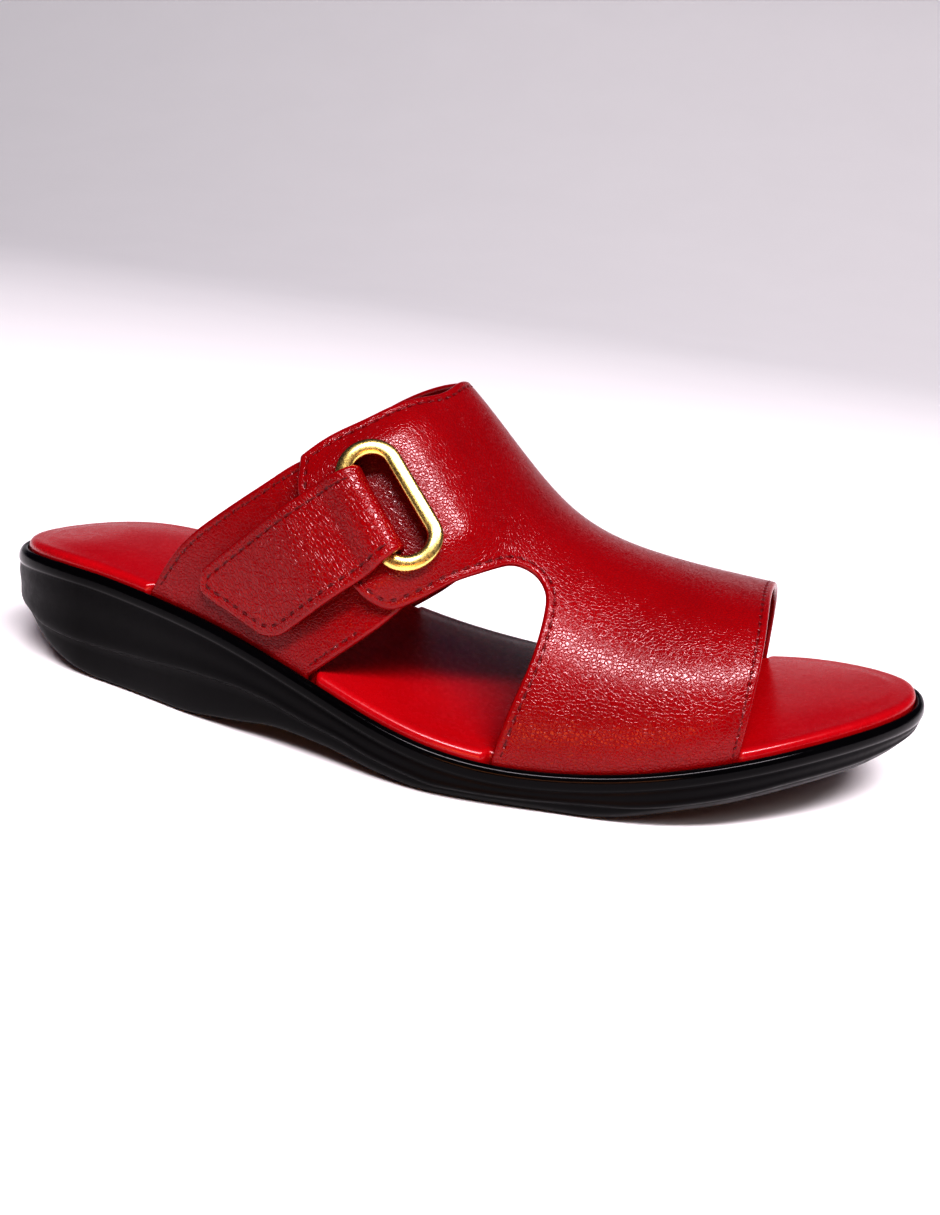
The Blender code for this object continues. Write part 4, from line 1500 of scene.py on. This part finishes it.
@dataclass
class ClosureTab:
    """Two-ply tab, up from the strap through the ring and folded back over it."""

    last: Last
    frame: ClosureFrame
    length: float = 0.0520
    slant: float = 0.0125
    upper_radius: float = 0.0045
    lower_radius: float = 0.0085

    def profile(self) -> tuple[Array, Array, Array, Array]:
        """The tab's middle line from its root to its tip.

        Returns:
            Length along it, back measure, height over the last and share of its width.
        """
        z = self.frame.sizes
        root = z.gap + z.tab_thick / 2
        on_flap = z.flap_step() + z.tab_room() + z.gap + z.tab_thick / 2
        over_bar = on_flap + z.ring_height + 2 * z.gap
        rise = z.ring_width / 2 - z.ring_band - 2 * z.gap - z.tab_thick / 2
        bar = (z.ring_width - z.ring_band) / 2
        rest = z.gap + z.tab_thick / 2 + z.tab_tip_lift
        rows = [
            (z.tab_root, root, 0.84), (bar, root, 0.86),
            (rise + 0.0011, root + 0.0001, z.slot_share),
            (rise + 0.0002, root + 0.0011, z.slot_share), (rise, root + 0.0028, z.slot_share),
            (rise, over_bar - 0.0022, z.slot_share), (rise + 0.0004, over_bar - 0.0009, 0.90),
            (rise + 0.0016, over_bar, 0.92), (bar + 0.0012, over_bar, 0.96),
            (bar + z.ring_band / 2 + 0.0010, over_bar - 0.0010, 0.99),
            (bar + z.ring_band / 2 + 0.0038, on_flap + 0.0001, 1.0),
        ]
        start = rows[-1][0]
        laid = ((0.0, on_flap), (0.18, on_flap), (0.50, (on_flap + rest) / 2),
                (0.80, rest + 0.0002), (1.0, rest))
        for t in np.linspace(0, 1, 15)[1:]:
            back = start + (self.length - start) * t
            rows.append((back, float(steady(laid, 1, np.array(t))), 1.0))
        table = np.array(rows)
        run = run_along(table[:, :2])
        dense = np.linspace(0, run[-1], 500)
        smooth = np.column_stack([np.interp(dense, run, table[:, k]) for k in range(3)])
        for _ in range(60):
            smooth[1:-1] = (smooth[:-2] + 2 * smooth[1:-1] + smooth[2:]) / 4
        return run_along(smooth[:, :2]), smooth[:, 0], smooth[:, 1], smooth[:, 2]

    def panel(self) -> LeatherPanel:
        """Cuts the leather.

        Returns:
            The panel, ready to build.
        """
        z = self.frame.sizes
        run, back, height, share = self.profile()
        half = z.tab_width / 2
        free = z.ring_width / 2 - z.ring_band - 2 * z.gap - z.tab_thick / 2
        straight = (z.ring_length - z.ring_width) / 2
        radius = z.ring_width / 2 - z.ring_band

        def middle(flat: Array) -> Array:
            """Points of the tab's middle surface."""
            b = np.interp(flat[:, 0], run, back)
            h = np.interp(flat[:, 0], run, height)
            wide = np.interp(flat[:, 0], run, share)
            across = flat[:, 1] * wide + z.tab_shift
            past = np.clip(np.abs(across) - straight, 0, radius * 0.98)
            pushed = np.sqrt(radius ** 2 - past ** 2) - radius
            b = b + pushed * ease(0.97, 0.91, wide)
            return self.frame.over(b, across, h)

        def lay(flat: Array) -> tuple[Array, Array]:
            """Middle surface and its normals, the finished face after the fold outwards."""
            small = 2e-5
            here = middle(flat)
            along = middle(flat + (small, 0)) - middle(flat - (small, 0))
            side = middle(flat + (0, small)) - middle(flat - (0, small))
            return here, unit(np.cross(along, side))

        tip = float(run[-1])
        long_corner = (tip - 0.0001, -half)
        short_corner = (tip - self.slant, half)
        outline = self._rounded([
            (0.0, -half), long_corner, short_corner, (0.0, half),
        ], (0.0004, self.upper_radius, self.lower_radius, 0.0004))

        def sewn(flat: Array) -> Array:
            """Sewn from the fold to the tip."""
            return flat[:, 0] > self._fold_run(run, back)

        def lift(flat: Array) -> Array:
            """Finished face over the middle surface."""
            return np.full(len(flat), z.tab_thick / 2)

        return LeatherPanel("closure_tab", lay, lift, outline,
                            wall=z.tab_thick, step=0.0008, border_step=0.0005, seam_depth=0.0027,
                            sewn=sewn, valley=0.00004, lining_from=0.0030, lining_step=0.0,
                            rows_mm=(0.05, 0.14, 0.28, 0.5, 0.75, 1.05, 1.5, 2.1, 2.7, 3.3, 4.0))

    @staticmethod
    def _fold_run(run: Array, back: Array) -> float:
        """Length along the tab where it comes back over the ring's bar."""
        return float(run[int(np.argmin(back))]) + 0.0055

    @staticmethod
    def _rounded(corners: Sequence[tuple[float, float]], radii: Sequence[float]) -> Array:
        """Closed outline with rounded corners.

        Args:
            corners: the sharp corners in order.
            radii: radius at each corner.

        Returns:
            Dense points of the outline.
        """
        points = []
        count = len(corners)
        for i in range(count):
            before = np.array(corners[i - 1])
            here = np.array(corners[i])
            after = np.array(corners[(i + 1) % count])
            to_before = (before - here) / np.linalg.norm(before - here)
            to_after = (after - here) / np.linalg.norm(after - here)
            turn = math.acos(float(np.clip(to_before @ to_after, -1, 1)))
            reach = radii[i] / math.tan(turn / 2)
            t = np.linspace(0, 1, 40)[:, None]
            start = here + to_before * reach
            end = here + to_after * reach
            centre = here + (to_before + to_after) / np.linalg.norm(to_before + to_after) * (
                radii[i] / math.sin(turn / 2))
            arc = (start - centre) * (1 - t) + (end - centre) * t
            points.append(centre + arc / np.linalg.norm(arc, axis=1, keepdims=True) * radii[i])
        dense = []
        for i in range(count):
            dense.append(points[i])
            a = points[i][-1]
            b = points[(i + 1) % count][0]
            steps = max(2, int(np.linalg.norm(b - a) / 0.0003))
            dense.append(a + (b - a) * np.linspace(0, 1, steps)[1:-1, None])
        return np.concatenate(dense)


@dataclass
class Ring:
    """Long ring of polished metal round the flap's slot."""

    last: Last
    frame: ClosureFrame
    stations: int = 160
    section: int = 28
    squareness: float = 2.25

    def build(self, gold: bpy.types.Material) -> bpy.types.Object:
        """Makes the ring.

        Args:
            gold: its finish.

        Returns:
            The new object.
        """
        z = self.frame.sizes
        radius = (z.ring_width - z.ring_band) / 2
        straight = (z.ring_length - z.ring_width) / 2
        arc = radius * math.pi
        total = 2 * arc + 4 * straight
        back = []
        across = []
        for s in np.linspace(0, total, self.stations, endpoint=False):
            turn, rest = divmod(s, total / 2)
            way = 1 if turn == 0 else -1
            if rest < arc:
                angle = rest / radius
                back.append(radius * math.cos(angle) * way)
                across.append((straight + radius * math.sin(angle)) * way)
            else:
                back.append(-radius * way)
                across.append((straight - (rest - arc)) * way)
        share, girth = self.frame.find(np.array(back), np.array(across))
        normal = self.last.normal(share, girth)
        height = self.frame.flap_lift(share, girth) + z.gap + z.ring_height / 2
        centre = self.last.surface(share, girth) + normal * height[:, None]
        tangent = unit(np.roll(centre, -1, 0) - np.roll(centre, 1, 0))
        sideways = unit(np.cross(normal, tangent))
        verts = []
        for k in range(self.section):
            angle = 2 * math.pi * k / self.section
            wide = math.copysign(abs(math.cos(angle)) ** (2 / self.squareness), math.cos(angle))
            tall = math.copysign(abs(math.sin(angle)) ** (2 / self.squareness), math.sin(angle))
            aside = sideways * z.ring_band / 2 * wide
            verts.append(centre + aside + normal * z.ring_height / 2 * tall)
        points = np.stack(verts, 1).reshape(-1, 3)
        faces = []
        for i in range(self.stations):
            j = (i + 1) % self.stations
            for k in range(self.section):
                m = (k + 1) % self.section
                faces.append((i * self.section + k, i * self.section + m,
                              j * self.section + m, j * self.section + k))
        return solid("ring", self.last, points, faces, (gold,))


@dataclass
class PlanLoop:
    """Closed outline of the plan with its outward normals."""

    last: Last
    stations: Array

    def __post_init__(self) -> None:
        """Lays out the points: outer side from heel to toe, then inner side back."""
        half, centre = self.last.plan(self.stations)
        count = len(self.stations)
        self.share = np.concatenate([self.stations, self.stations[-2:0:-1]])
        self.side = np.concatenate([-np.ones(count), np.ones(count - 2)])
        y = np.concatenate([centre - half, (centre + half)[-2:0:-1]])
        self.points = np.stack([self.share * self.last.length, y], -1)
        tangent = np.roll(self.points, -1, 0) - np.roll(self.points, 1, 0)
        self.normal = unit(np.stack([tangent[:, 1], -tangent[:, 0]], -1))

    def mix(self, values: tuple[float, float, float]) -> Array:
        """Measure blended between the side, the back and the toe by the way the outline faces."""
        side, back, toe = values
        at_back = np.clip(-self.normal[:, 0], 0, 1) ** 1.5
        at_toe = np.clip(self.normal[:, 0], 0, 1) ** 1.5
        return side + (back - side) * at_back + (toe - side) * at_toe

    def row(self, inset: Array, height: Callable[[Array], Array]) -> Array:
        """Points inset from the outline at given heights.

        Args:
            inset: distance inwards.
            height: height as a function of the share of the length.

        Returns:
            One point for each of the outline's.
        """
        flat = self.points - self.normal * np.broadcast_to(inset, len(self.points))[:, None]
        return np.column_stack([flat, height(np.clip(flat[:, 0] / self.last.length, 0, 1))])


def refine(rows: Sequence[Array], counts: Sequence[int],
           corners: Sequence[int]) -> tuple[Array, Array]:
    """Smooth rows between key rows, with creases at some of them.

    Args:
        rows: key rows of points.
        counts: steps between each pair of key rows.
        corners: numbers of the key rows where the section turns sharply.

    Returns:
        All rows, and each one's place among the key rows as a number.
    """
    data = np.stack(rows)
    gaps = np.linalg.norm(np.diff(data, axis=0), axis=2).mean(1)
    knots = np.concatenate([[0.0], np.cumsum(gaps)])
    stops = [0, *corners, len(rows) - 1]
    made = [data[:1]]
    place = [np.zeros(1)]
    for first, final in zip(stops[:-1], stops[1:]):
        part = data[first:final + 1].reshape(final - first + 1, -1)
        for k in range(first, final):
            share = np.linspace(0, 1, counts[k] + 1)[1:]
            at = knots[k] + (knots[k + 1] - knots[k]) * share
            if final - first == 1:
                value = part[0] + (part[1] - part[0]) * share[:, None]
            else:
                value = NaturalCurve(knots[first:final + 1], part).read(at)
            made.append(value.reshape(len(at), *data.shape[1:]))
            place.append(k + share)
    return np.concatenate(made), np.concatenate(place)


def shell_faces(rows: int, count: int) -> list[tuple[int, ...]]:
    """Faces of closed rows stacked from the bottom up."""
    faces = []
    for k in range(rows - 1):
        low = k * count
        high = low + count
        for i in range(count):
            j = (i + 1) % count
            faces.append((low + i, low + j, high + j, high + i))
    return faces


def cap_grid(row: Array, first: int, offset: int, lanes: int, upward: bool,
             shape: Callable[[Array, Array], Array]) -> tuple[Array, list[tuple[int, ...]]]:
    """Closes a plan-shaped row with a grid across it.

    Args:
        row: the closing row's points, heel first, outer side out and inner side back.
        first: number of its first point in the piece.
        offset: number that the grid's own first point gets.
        lanes: cells across.
        upward: whether the cap faces up.
        shape: moves the grid's points, given them and their place from -1 to 1 across.

    Returns:
        The grid's inner points and all its faces.
    """
    count = len(row)
    stations = count // 2 + 1
    lane = np.linspace(-1, 1, lanes + 1)[1:-1]
    numbers = np.zeros((stations, lanes + 1), int)
    inner = []
    made = 0
    for i in range(stations):
        left = i
        right = (count - i) % count
        numbers[i, 0] = first + left
        numbers[i, lanes] = first + right
        if left == right:
            numbers[i, :] = first + left
            continue
        t = (lane[:, None] + 1) / 2
        inner.append(row[left] * (1 - t) + row[right] * t)
        numbers[i, 1:lanes] = offset + made + np.arange(lanes - 1)
        made += lanes - 1
    grid = np.concatenate(inner)
    grid = shape(grid, np.tile(lane, len(inner)))
    faces = []
    for i in range(stations - 1):
        for k in range(lanes):
            loop = [numbers[i, k], numbers[i + 1, k], numbers[i + 1, k + 1], numbers[i, k + 1]]
            loop = list(dict.fromkeys(int(n) for n in loop))
            if len(loop) > 2:
                faces.append(tuple(loop) if upward else tuple(reversed(loop)))
    return grid, faces


@dataclass
class Sole:
    """One moulded unit: tread, side with its step line, lip, and the seat for the footbed."""

    last: Last
    sizes: Sizes
    lip_height: float = 0.0040
    step_depth: float = 0.0008
    step_rise: float = 0.0008
    foot_rise: float = 0.0015
    groove_width: float = 0.0020
    groove_depth: float = 0.0012
    groove_pitch: float = 0.0070
    groove_margin: float = 0.0095
    groove_runs: Table = ((0.125, 0.300), (0.520, 0.800))
    stations: int = 380
    lanes: int = 36
    tread_line: Table = (
        (0.04, 0.34, 0.34), (0.09, 0.12, 0.12), (0.13, 0.03, 0.03), (0.16, 0.0, 0.0),
        (0.26, 0.0, 0.0), (0.33, 0.075, 0.09), (0.39, 0.145, 0.17), (0.44, 0.12, 0.12),
        (0.50, 0.04, 0.05), (0.55, 0.0, 0.0), (0.69, 0.0, 0.0), (0.80, 0.19, 0.19),
        (0.88, 0.35, 0.35), (0.94, 0.45, 0.45), (1.00, 0.58, 0.58),
    )
    step_line: Table = (
        (0.00, 0.430), (0.04, 0.410), (0.08, 0.345), (0.14, 0.330), (0.22, 0.360), (0.29, 0.410),
        (0.33, 0.415), (0.37, 0.385), (0.42, 0.300), (0.46, 0.245), (0.49, 0.180), (0.53, 0.120),
        (0.56, 0.083), (0.60, 0.083), (0.73, 0.147), (0.82, 0.305), (0.88, 0.440), (0.94, 0.540),
        (1.00, 0.670),
    )
    tread_inset: tuple[float, float, float] = (0.0034, 0.0090, 0.0065)
    foot_inset: tuple[float, float, float] = (0.0012, 0.0040, 0.0030)
    step_inset: tuple[float, float, float] = (0.0008, 0.0024, 0.0018)
    bulge_inset: tuple[float, float, float] = (0.0001, 0.0004, 0.0004)
    lip_section: Table = (
        (0.00035, 0.0043), (0.00035, 0.0040), (0.00005, 0.0034), (0.0, 0.0022), (0.0003, 0.0010),
        (0.0010, 0.0002), (0.0017, 0.0), (0.0023, 0.0003),
    )

    def groove_centres(self) -> list[float]:
        """Places of the cross grooves along the length."""
        centres = []
        for start, end in self.groove_runs:
            x = start * self.last.length
            while x < end * self.last.length:
                centres.append(x)
                x += self.groove_pitch
        return centres

    def build(self, moulded: bpy.types.Material) -> bpy.types.Object:
        """Makes the sole.

        Args:
            moulded: its finish.

        Returns:
            The new object.
        """
        last = self.last
        even = (1 - np.cos(np.linspace(0, math.pi, self.stations + 1))) / 2
        loop = PlanLoop(last, np.delete(even, [1, 2, -3, -2]))
        seat = last.heel_seat

        def tread(share: Array) -> Array:
            """Height of the tread at the outline's own side."""
            outer = steady(self.tread_line, 1, share) * seat
            inner = steady(self.tread_line, 2, share) * seat
            return np.where(loop.side < 0, outer, inner)

        def step(share: Array) -> Array:
            """Height of the step line."""
            least = tread(share) + self.foot_rise * 1.15
            return np.maximum(steady(self.step_line, 1, share) * seat, least)

        def under_lip(share: Array) -> Array:
            """Height of the lip's underside."""
            return last.rim(share) - self.lip_height

        foot = loop.mix(self.foot_inset)
        tread_inset = loop.mix(self.tread_inset)
        low = loop.mix(self.step_inset)
        high = low - self.step_depth
        bulge = loop.mix(self.bulge_inset)
        rows = [
            loop.row(tread_inset, tread),
            loop.row((tread_inset + foot) / 2, lambda s: tread(s) + self.foot_rise * 0.25),
            loop.row(foot, lambda s: tread(s) + self.foot_rise),
            loop.row(low, step),
            loop.row(low - self.step_depth * 0.15, lambda s: step(s) + self.step_rise * 0.25),
            loop.row(high, lambda s: step(s) + self.step_rise),
            loop.row((high + bulge) / 2,
                     lambda s: 0.65 * (step(s) + self.step_rise) + 0.35 * under_lip(s)),
            loop.row(bulge, lambda s: 0.3 * (step(s) + self.step_rise) + 0.7 * under_lip(s)),
        ]
        for inset, down in self.lip_section:
            rows.append(loop.row(np.full(len(loop.points), inset),
                                 lambda s, d=down: last.rim(s) - d))
        rows.append(loop.row(np.full(len(loop.points), self.sizes.lip_top),
                             lambda s: last.rim(s) - self.sizes.recess))
        counts = [4, 4, 5, 3, 4, 5, 5, 5, 2, 3, 3, 3, 3, 2, 2, 2]
        made, place = refine(rows, counts, (3, 4, 8, 9, 14))
        count = len(loop.points)
        verts = [made.reshape(-1, 3)]
        faces = shell_faces(len(made), count)
        centres = np.array(self.groove_centres())

        def groove(points: Array, lane: Array) -> Array:
            """Presses the cross grooves into the tread."""
            share = points[:, 0] / last.length
            half, centre = last.plan(share)
            near = np.abs(points[:, 0][:, None] - centres[None]).min(1)
            cut = ease(self.groove_width / 2 + 0.0004, self.groove_width / 2 - 0.0002, near)
            room = half - self.groove_margin - np.abs(points[:, 1] - centre)
            cut = cut * ease(-0.0006, 0.0010, room)
            moved = points.copy()
            moved[:, 2] += self.groove_depth * cut
            return moved

        bottom, bottom_faces = cap_grid(made[0], 0, len(made) * count, self.lanes, False, groove)
        verts.append(bottom)
        faces += bottom_faces
        top_first = (len(made) - 1) * count
        top, top_faces = cap_grid(made[-1], top_first, len(made) * count + len(bottom), 2, True,
                                  lambda p, lane: p)
        verts.append(top)
        faces += top_faces
        piece = solid("sole", last, np.concatenate(verts), faces, (moulded,))
        lip = np.repeat(ease(7.6, 8.6, place), count)
        measure(piece, "lip", np.concatenate([lip, np.zeros(len(bottom) + len(top))]))
        return piece


@dataclass
class Footbed:
    """Leather covered footbed with a rolled edge and a low crown, notched for the upper's legs."""

    last: Last
    sizes: Sizes
    crown: float = 0.0030
    crown_run: float = 0.0200
    roll: float = 0.0022
    shoulder: float = 0.0070
    ramp: float = 0.0010
    stations: int = 420
    notches: Table = (
        (-1, 0.216, 0.413, 0.0006, 0.0010),
        (-1, 0.606, 0.828, 0.0006, 0.0006),
        (1, 0.200, 0.425, 0.0006, 0.0010),
        (1, 0.603, 0.835, 0.0006, 0.0006),
    )

    def edge(self, share: Array, side: Array) -> Array:
        """Inset of the edge: deeper where a leg of the upper passes.

        Args:
            share: shares of the length.
            side: -1 outer, 1 inner.

        Returns:
            Insets from the sole's outline.
        """
        z = self.sizes
        inset = np.full(len(share), z.lip_top + z.gap)
        x = share * self.last.length
        for notch_side, start, end, before, after in self.notches:
            low = start * self.last.length - before
            high = end * self.last.length + after
            depth = ease(low - self.ramp, low, x) * (1 - ease(high, high + self.ramp, x))
            inset = inset + (z.wall + z.gap) * depth * (side == notch_side)
        return inset

    def build(self, cover: bpy.types.Material) -> bpy.types.Object:
        """Makes the footbed.

        Args:
            cover: its finish.

        Returns:
            The new object.
        """
        last = self.last
        z = self.sizes
        loop = PlanLoop(last, (1 - np.cos(np.linspace(0, math.pi, self.stations + 1))) / 2)
        edge = self.edge(loop.share, loop.side)
        floor = z.gap - z.recess
        section = (
            (0.0, floor), (0.0, self.roll * 0.20), (self.roll * 0.20, self.roll * 0.68),
            (self.roll * 0.55, self.roll * 0.93), (self.roll * 1.2, self.roll * 1.02),
            (self.shoulder, self.roll + 0.4 * (self.crown - self.roll)),
        )
        rows = [loop.row(edge + inset, lambda s, up=up: last.rim(s) + up) for inset, up in section]
        made, _ = refine(rows, (3, 5, 4, 4, 5), (1,))
        count = len(loop.points)
        first = (len(made) - 1) * count

        def crowned(points: Array, lane: Array) -> Array:
            """Crowns the top across its width, less near the heel's and the toe's end."""
            low = self.roll + 0.4 * (self.crown - self.roll)
            from_end = np.minimum(points[:, 0], last.length - points[:, 0])
            inside = from_end - (z.lip_top + z.gap + self.shoulder)
            full = (1 - np.abs(lane) ** 3) * ease(0.0, self.crown_run, inside)
            moved = points.copy()
            moved[:, 2] = last.rim(points[:, 0] / last.length) + low + (self.crown - low) * full
            return moved

        top, top_faces = cap_grid(made[-1], first, len(made) * count, 30, True, crowned)
        base, base_faces = cap_grid(made[0], 0, len(made) * count + len(top), 2, False,
                                    lambda p, lane: p)
        faces = shell_faces(len(made), count) + top_faces + base_faces
        verts = np.concatenate([made.reshape(-1, 3), top, base])
        return solid("insole", last, verts, faces, (cover,))


@dataclass(frozen=True)
class Lamp:
    """One soft box, aimed at the sandal."""

    name: str
    azimuth: float
    elevation: float
    distance: float
    size: tuple[float, float]
    power: float
    colour: Colour


@dataclass
class Studio:
    """Pale floor, soft lights and the camera at the picture's angle."""

    last: Last
    azimuth: float = 14.5
    elevation: float = 17.5
    roll: float = 7.7
    distance: float = 0.340
    lens: float = 36.8
    aim_height: float = 0.030
    image: tuple[int, int] = (940, 1215)
    aim_pixel: float = 454.0
    lamps: tuple[Lamp, ...] = (
        Lamp("key", 36.0, 59.0, 2.0, (1.9, 0.30), 50.0, (1.0, 0.92, 0.98)),
        Lamp("low_warm", 13.0, 9.0, 1.2, (0.6, 0.14), 1.7, (1.0, 0.42, 0.16)),
    )
    sun_power: float = 0.95
    sun_spread: float = 40.0
    sun_colour: Colour = (1.0, 0.98, 0.97)
    sun_from: tuple[float, float] = (30.0, 58.0)
    room: Colour = (0.035, 0.028, 0.055)
    floor_tones: tuple[Colour, Colour] = ((0.90, 0.895, 0.89), (0.93, 0.925, 0.92))
    floor_flat: tuple[float, float] = (-4.0, 1.4)
    floor_half_width: float = 6.0
    floor_bend: float = 2.2
    floor_slope: float = 45.0

    @staticmethod
    def towards(azimuth: float, elevation: float) -> Array:
        """Unit vector from the sandal to a place round it, in degrees."""
        a = math.radians(azimuth)
        e = math.radians(elevation)
        return np.array([math.sin(a) * math.cos(e), -math.cos(a) * math.cos(e), math.sin(e)])

    def camera(self) -> None:
        """Sets the camera at the photograph's angle."""
        back = self.towards(self.azimuth, self.elevation)
        a = math.radians(self.azimuth)
        right = np.array([math.cos(a), math.sin(a), 0.0])
        up = np.cross(back, right)
        r = math.radians(self.roll)
        tilted = right * math.cos(r) + up * math.sin(r)
        upright = -right * math.sin(r) + up * math.cos(r)
        aim = np.array([0.0, -self.last.middle(), self.aim_height])
        data = bpy.data.cameras.new("camera")
        data.lens = self.lens
        data.sensor_width = 36.0
        data.clip_start = 0.01
        data.clip_end = 20.0
        data.shift_x = (self.image[0] / 2 - self.aim_pixel) / self.image[1]
        made = bpy.data.objects.new("camera", data)
        place = aim + back * self.distance
        columns = np.column_stack([tilted, upright, back])
        made.matrix_world = Matrix.Translation(Vector(place)) @ Matrix(columns.tolist()).to_4x4()
        bpy.context.scene.collection.objects.link(made)
        bpy.context.scene.camera = made

    def aim_light(self, made: bpy.types.Object, azimuth: float, elevation: float) -> None:
        """Aims a light at the sandal from a place round it.

        Args:
            made: the light.
            azimuth: place round the sandal, in degrees.
            elevation: place above the horizon, in degrees.
        """
        made.rotation_mode = "QUATERNION"
        made.rotation_quaternion = Vector(self.towards(azimuth, elevation)).to_track_quat("Z", "Y")
        bpy.context.scene.collection.objects.link(made)

    def lights(self) -> None:
        """Places the soft boxes, the broad light and the room's own light."""
        for lamp in self.lamps:
            data = bpy.data.lights.new(lamp.name, "AREA")
            data.shape = "RECTANGLE"
            data.size, data.size_y = lamp.size
            data.energy = lamp.power
            data.color = lamp.colour
            made = bpy.data.objects.new(lamp.name, data)
            way = self.towards(lamp.azimuth, lamp.elevation)
            made.location = Vector(way * lamp.distance + (0.0, 0.0, self.aim_height))
            self.aim_light(made, lamp.azimuth, lamp.elevation)
        sun = bpy.data.lights.new("broad_key", "SUN")
        sun.energy = self.sun_power
        sun.angle = math.radians(self.sun_spread)
        sun.color = self.sun_colour
        broad = bpy.data.objects.new("broad_key", sun)
        broad.visible_glossy = False
        self.aim_light(broad, *self.sun_from)
        world = bpy.data.worlds.new("room")
        world.use_nodes = True
        shade = world.node_tree.nodes["Background"]
        shade.inputs["Color"].default_value = rgba(self.room)
        shade.inputs["Strength"].default_value = 1.0
        bpy.context.scene.world = world

    def floor(self) -> None:
        """Lays the pale floor, curving up far behind."""
        paint = Paint("pale_floor")
        noise = paint.noise(paint.place(), 6.0, 3.0)
        material = paint.done({
            "Base Color": paint.blend(noise.outputs["Fac"], *map(rgba, self.floor_tones)),
            "Roughness": 0.75,
            "Specular IOR Level": 0.2,
        })
        near, far = self.floor_flat
        bend = self.floor_bend
        profile = [(near, 0.0), (far, 0.0)]
        for k in range(1, 25):
            angle = math.radians(self.floor_slope) * k / 24
            profile.append((far + bend * math.sin(angle), bend - bend * math.cos(angle)))
        last_y, last_z = profile[-1]
        profile.append((last_y + 0.4, last_z + 0.4))
        sides = (-self.floor_half_width, self.floor_half_width)
        verts = [(x, y, h) for x in sides for y, h in profile]
        count = len(profile)
        faces = [(i, count + i, count + i + 1, i + 1) for i in range(count - 1)]
        mesh = bpy.data.meshes.new("studio_floor")
        mesh.from_pydata(verts, [], faces)
        mesh.materials.append(material)
        mesh.shade_smooth()
        made = bpy.data.objects.new("studio_floor", mesh)
        bpy.context.scene.collection.objects.link(made)


def corners(box: tuple[Vector, Vector]) -> list[list[float]]:
    """A box as plain lists."""
    return [[float(v) for v in corner] for corner in box]


def main() -> None:
    """Builds, dresses and lights the sandal."""
    logging.basicConfig(level=logging.INFO, format="%(name)s %(message)s")
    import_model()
    last = Last()
    sizes = Sizes()
    frame = ClosureFrame(last, sizes)
    wardrobe = Wardrobe()

    dress(Sole(last, sizes).build(wardrobe.sole), "black_sole", "sole")
    dress(Footbed(last, sizes).build(wardrobe.footbed), "red_footbed", "insole")
    panels = (
        (Upper(last, frame).panel(), wardrobe.leather, wardrobe.lining),
        (SideStrap(last, sizes).panel(), wardrobe.leather, wardrobe.lining),
        (ClosureTab(last, frame).panel(), wardrobe.tab_leather, wardrobe.tab_leather),
    )
    stitches = StitchRow()
    for panel, leather, lining in panels:
        dress(panel.build(last, leather, lining), "red_leather", panel.name)
        sewn = stitches.sew(panel.name + "_stitches", last, panel.stitch_lines(), wardrobe.thread)
        dress(sewn, "red_leather")
    dress(Ring(last, frame).build(wardrobe.gold), "gold_ring", "ring")

    studio = Studio(last)
    studio.floor()
    studio.lights()
    studio.camera()
    bpy.context.scene.view_settings.view_transform = "Standard"
    bpy.context.scene.view_settings.look = "High Contrast"


if __name__ == "__main__":
    main()
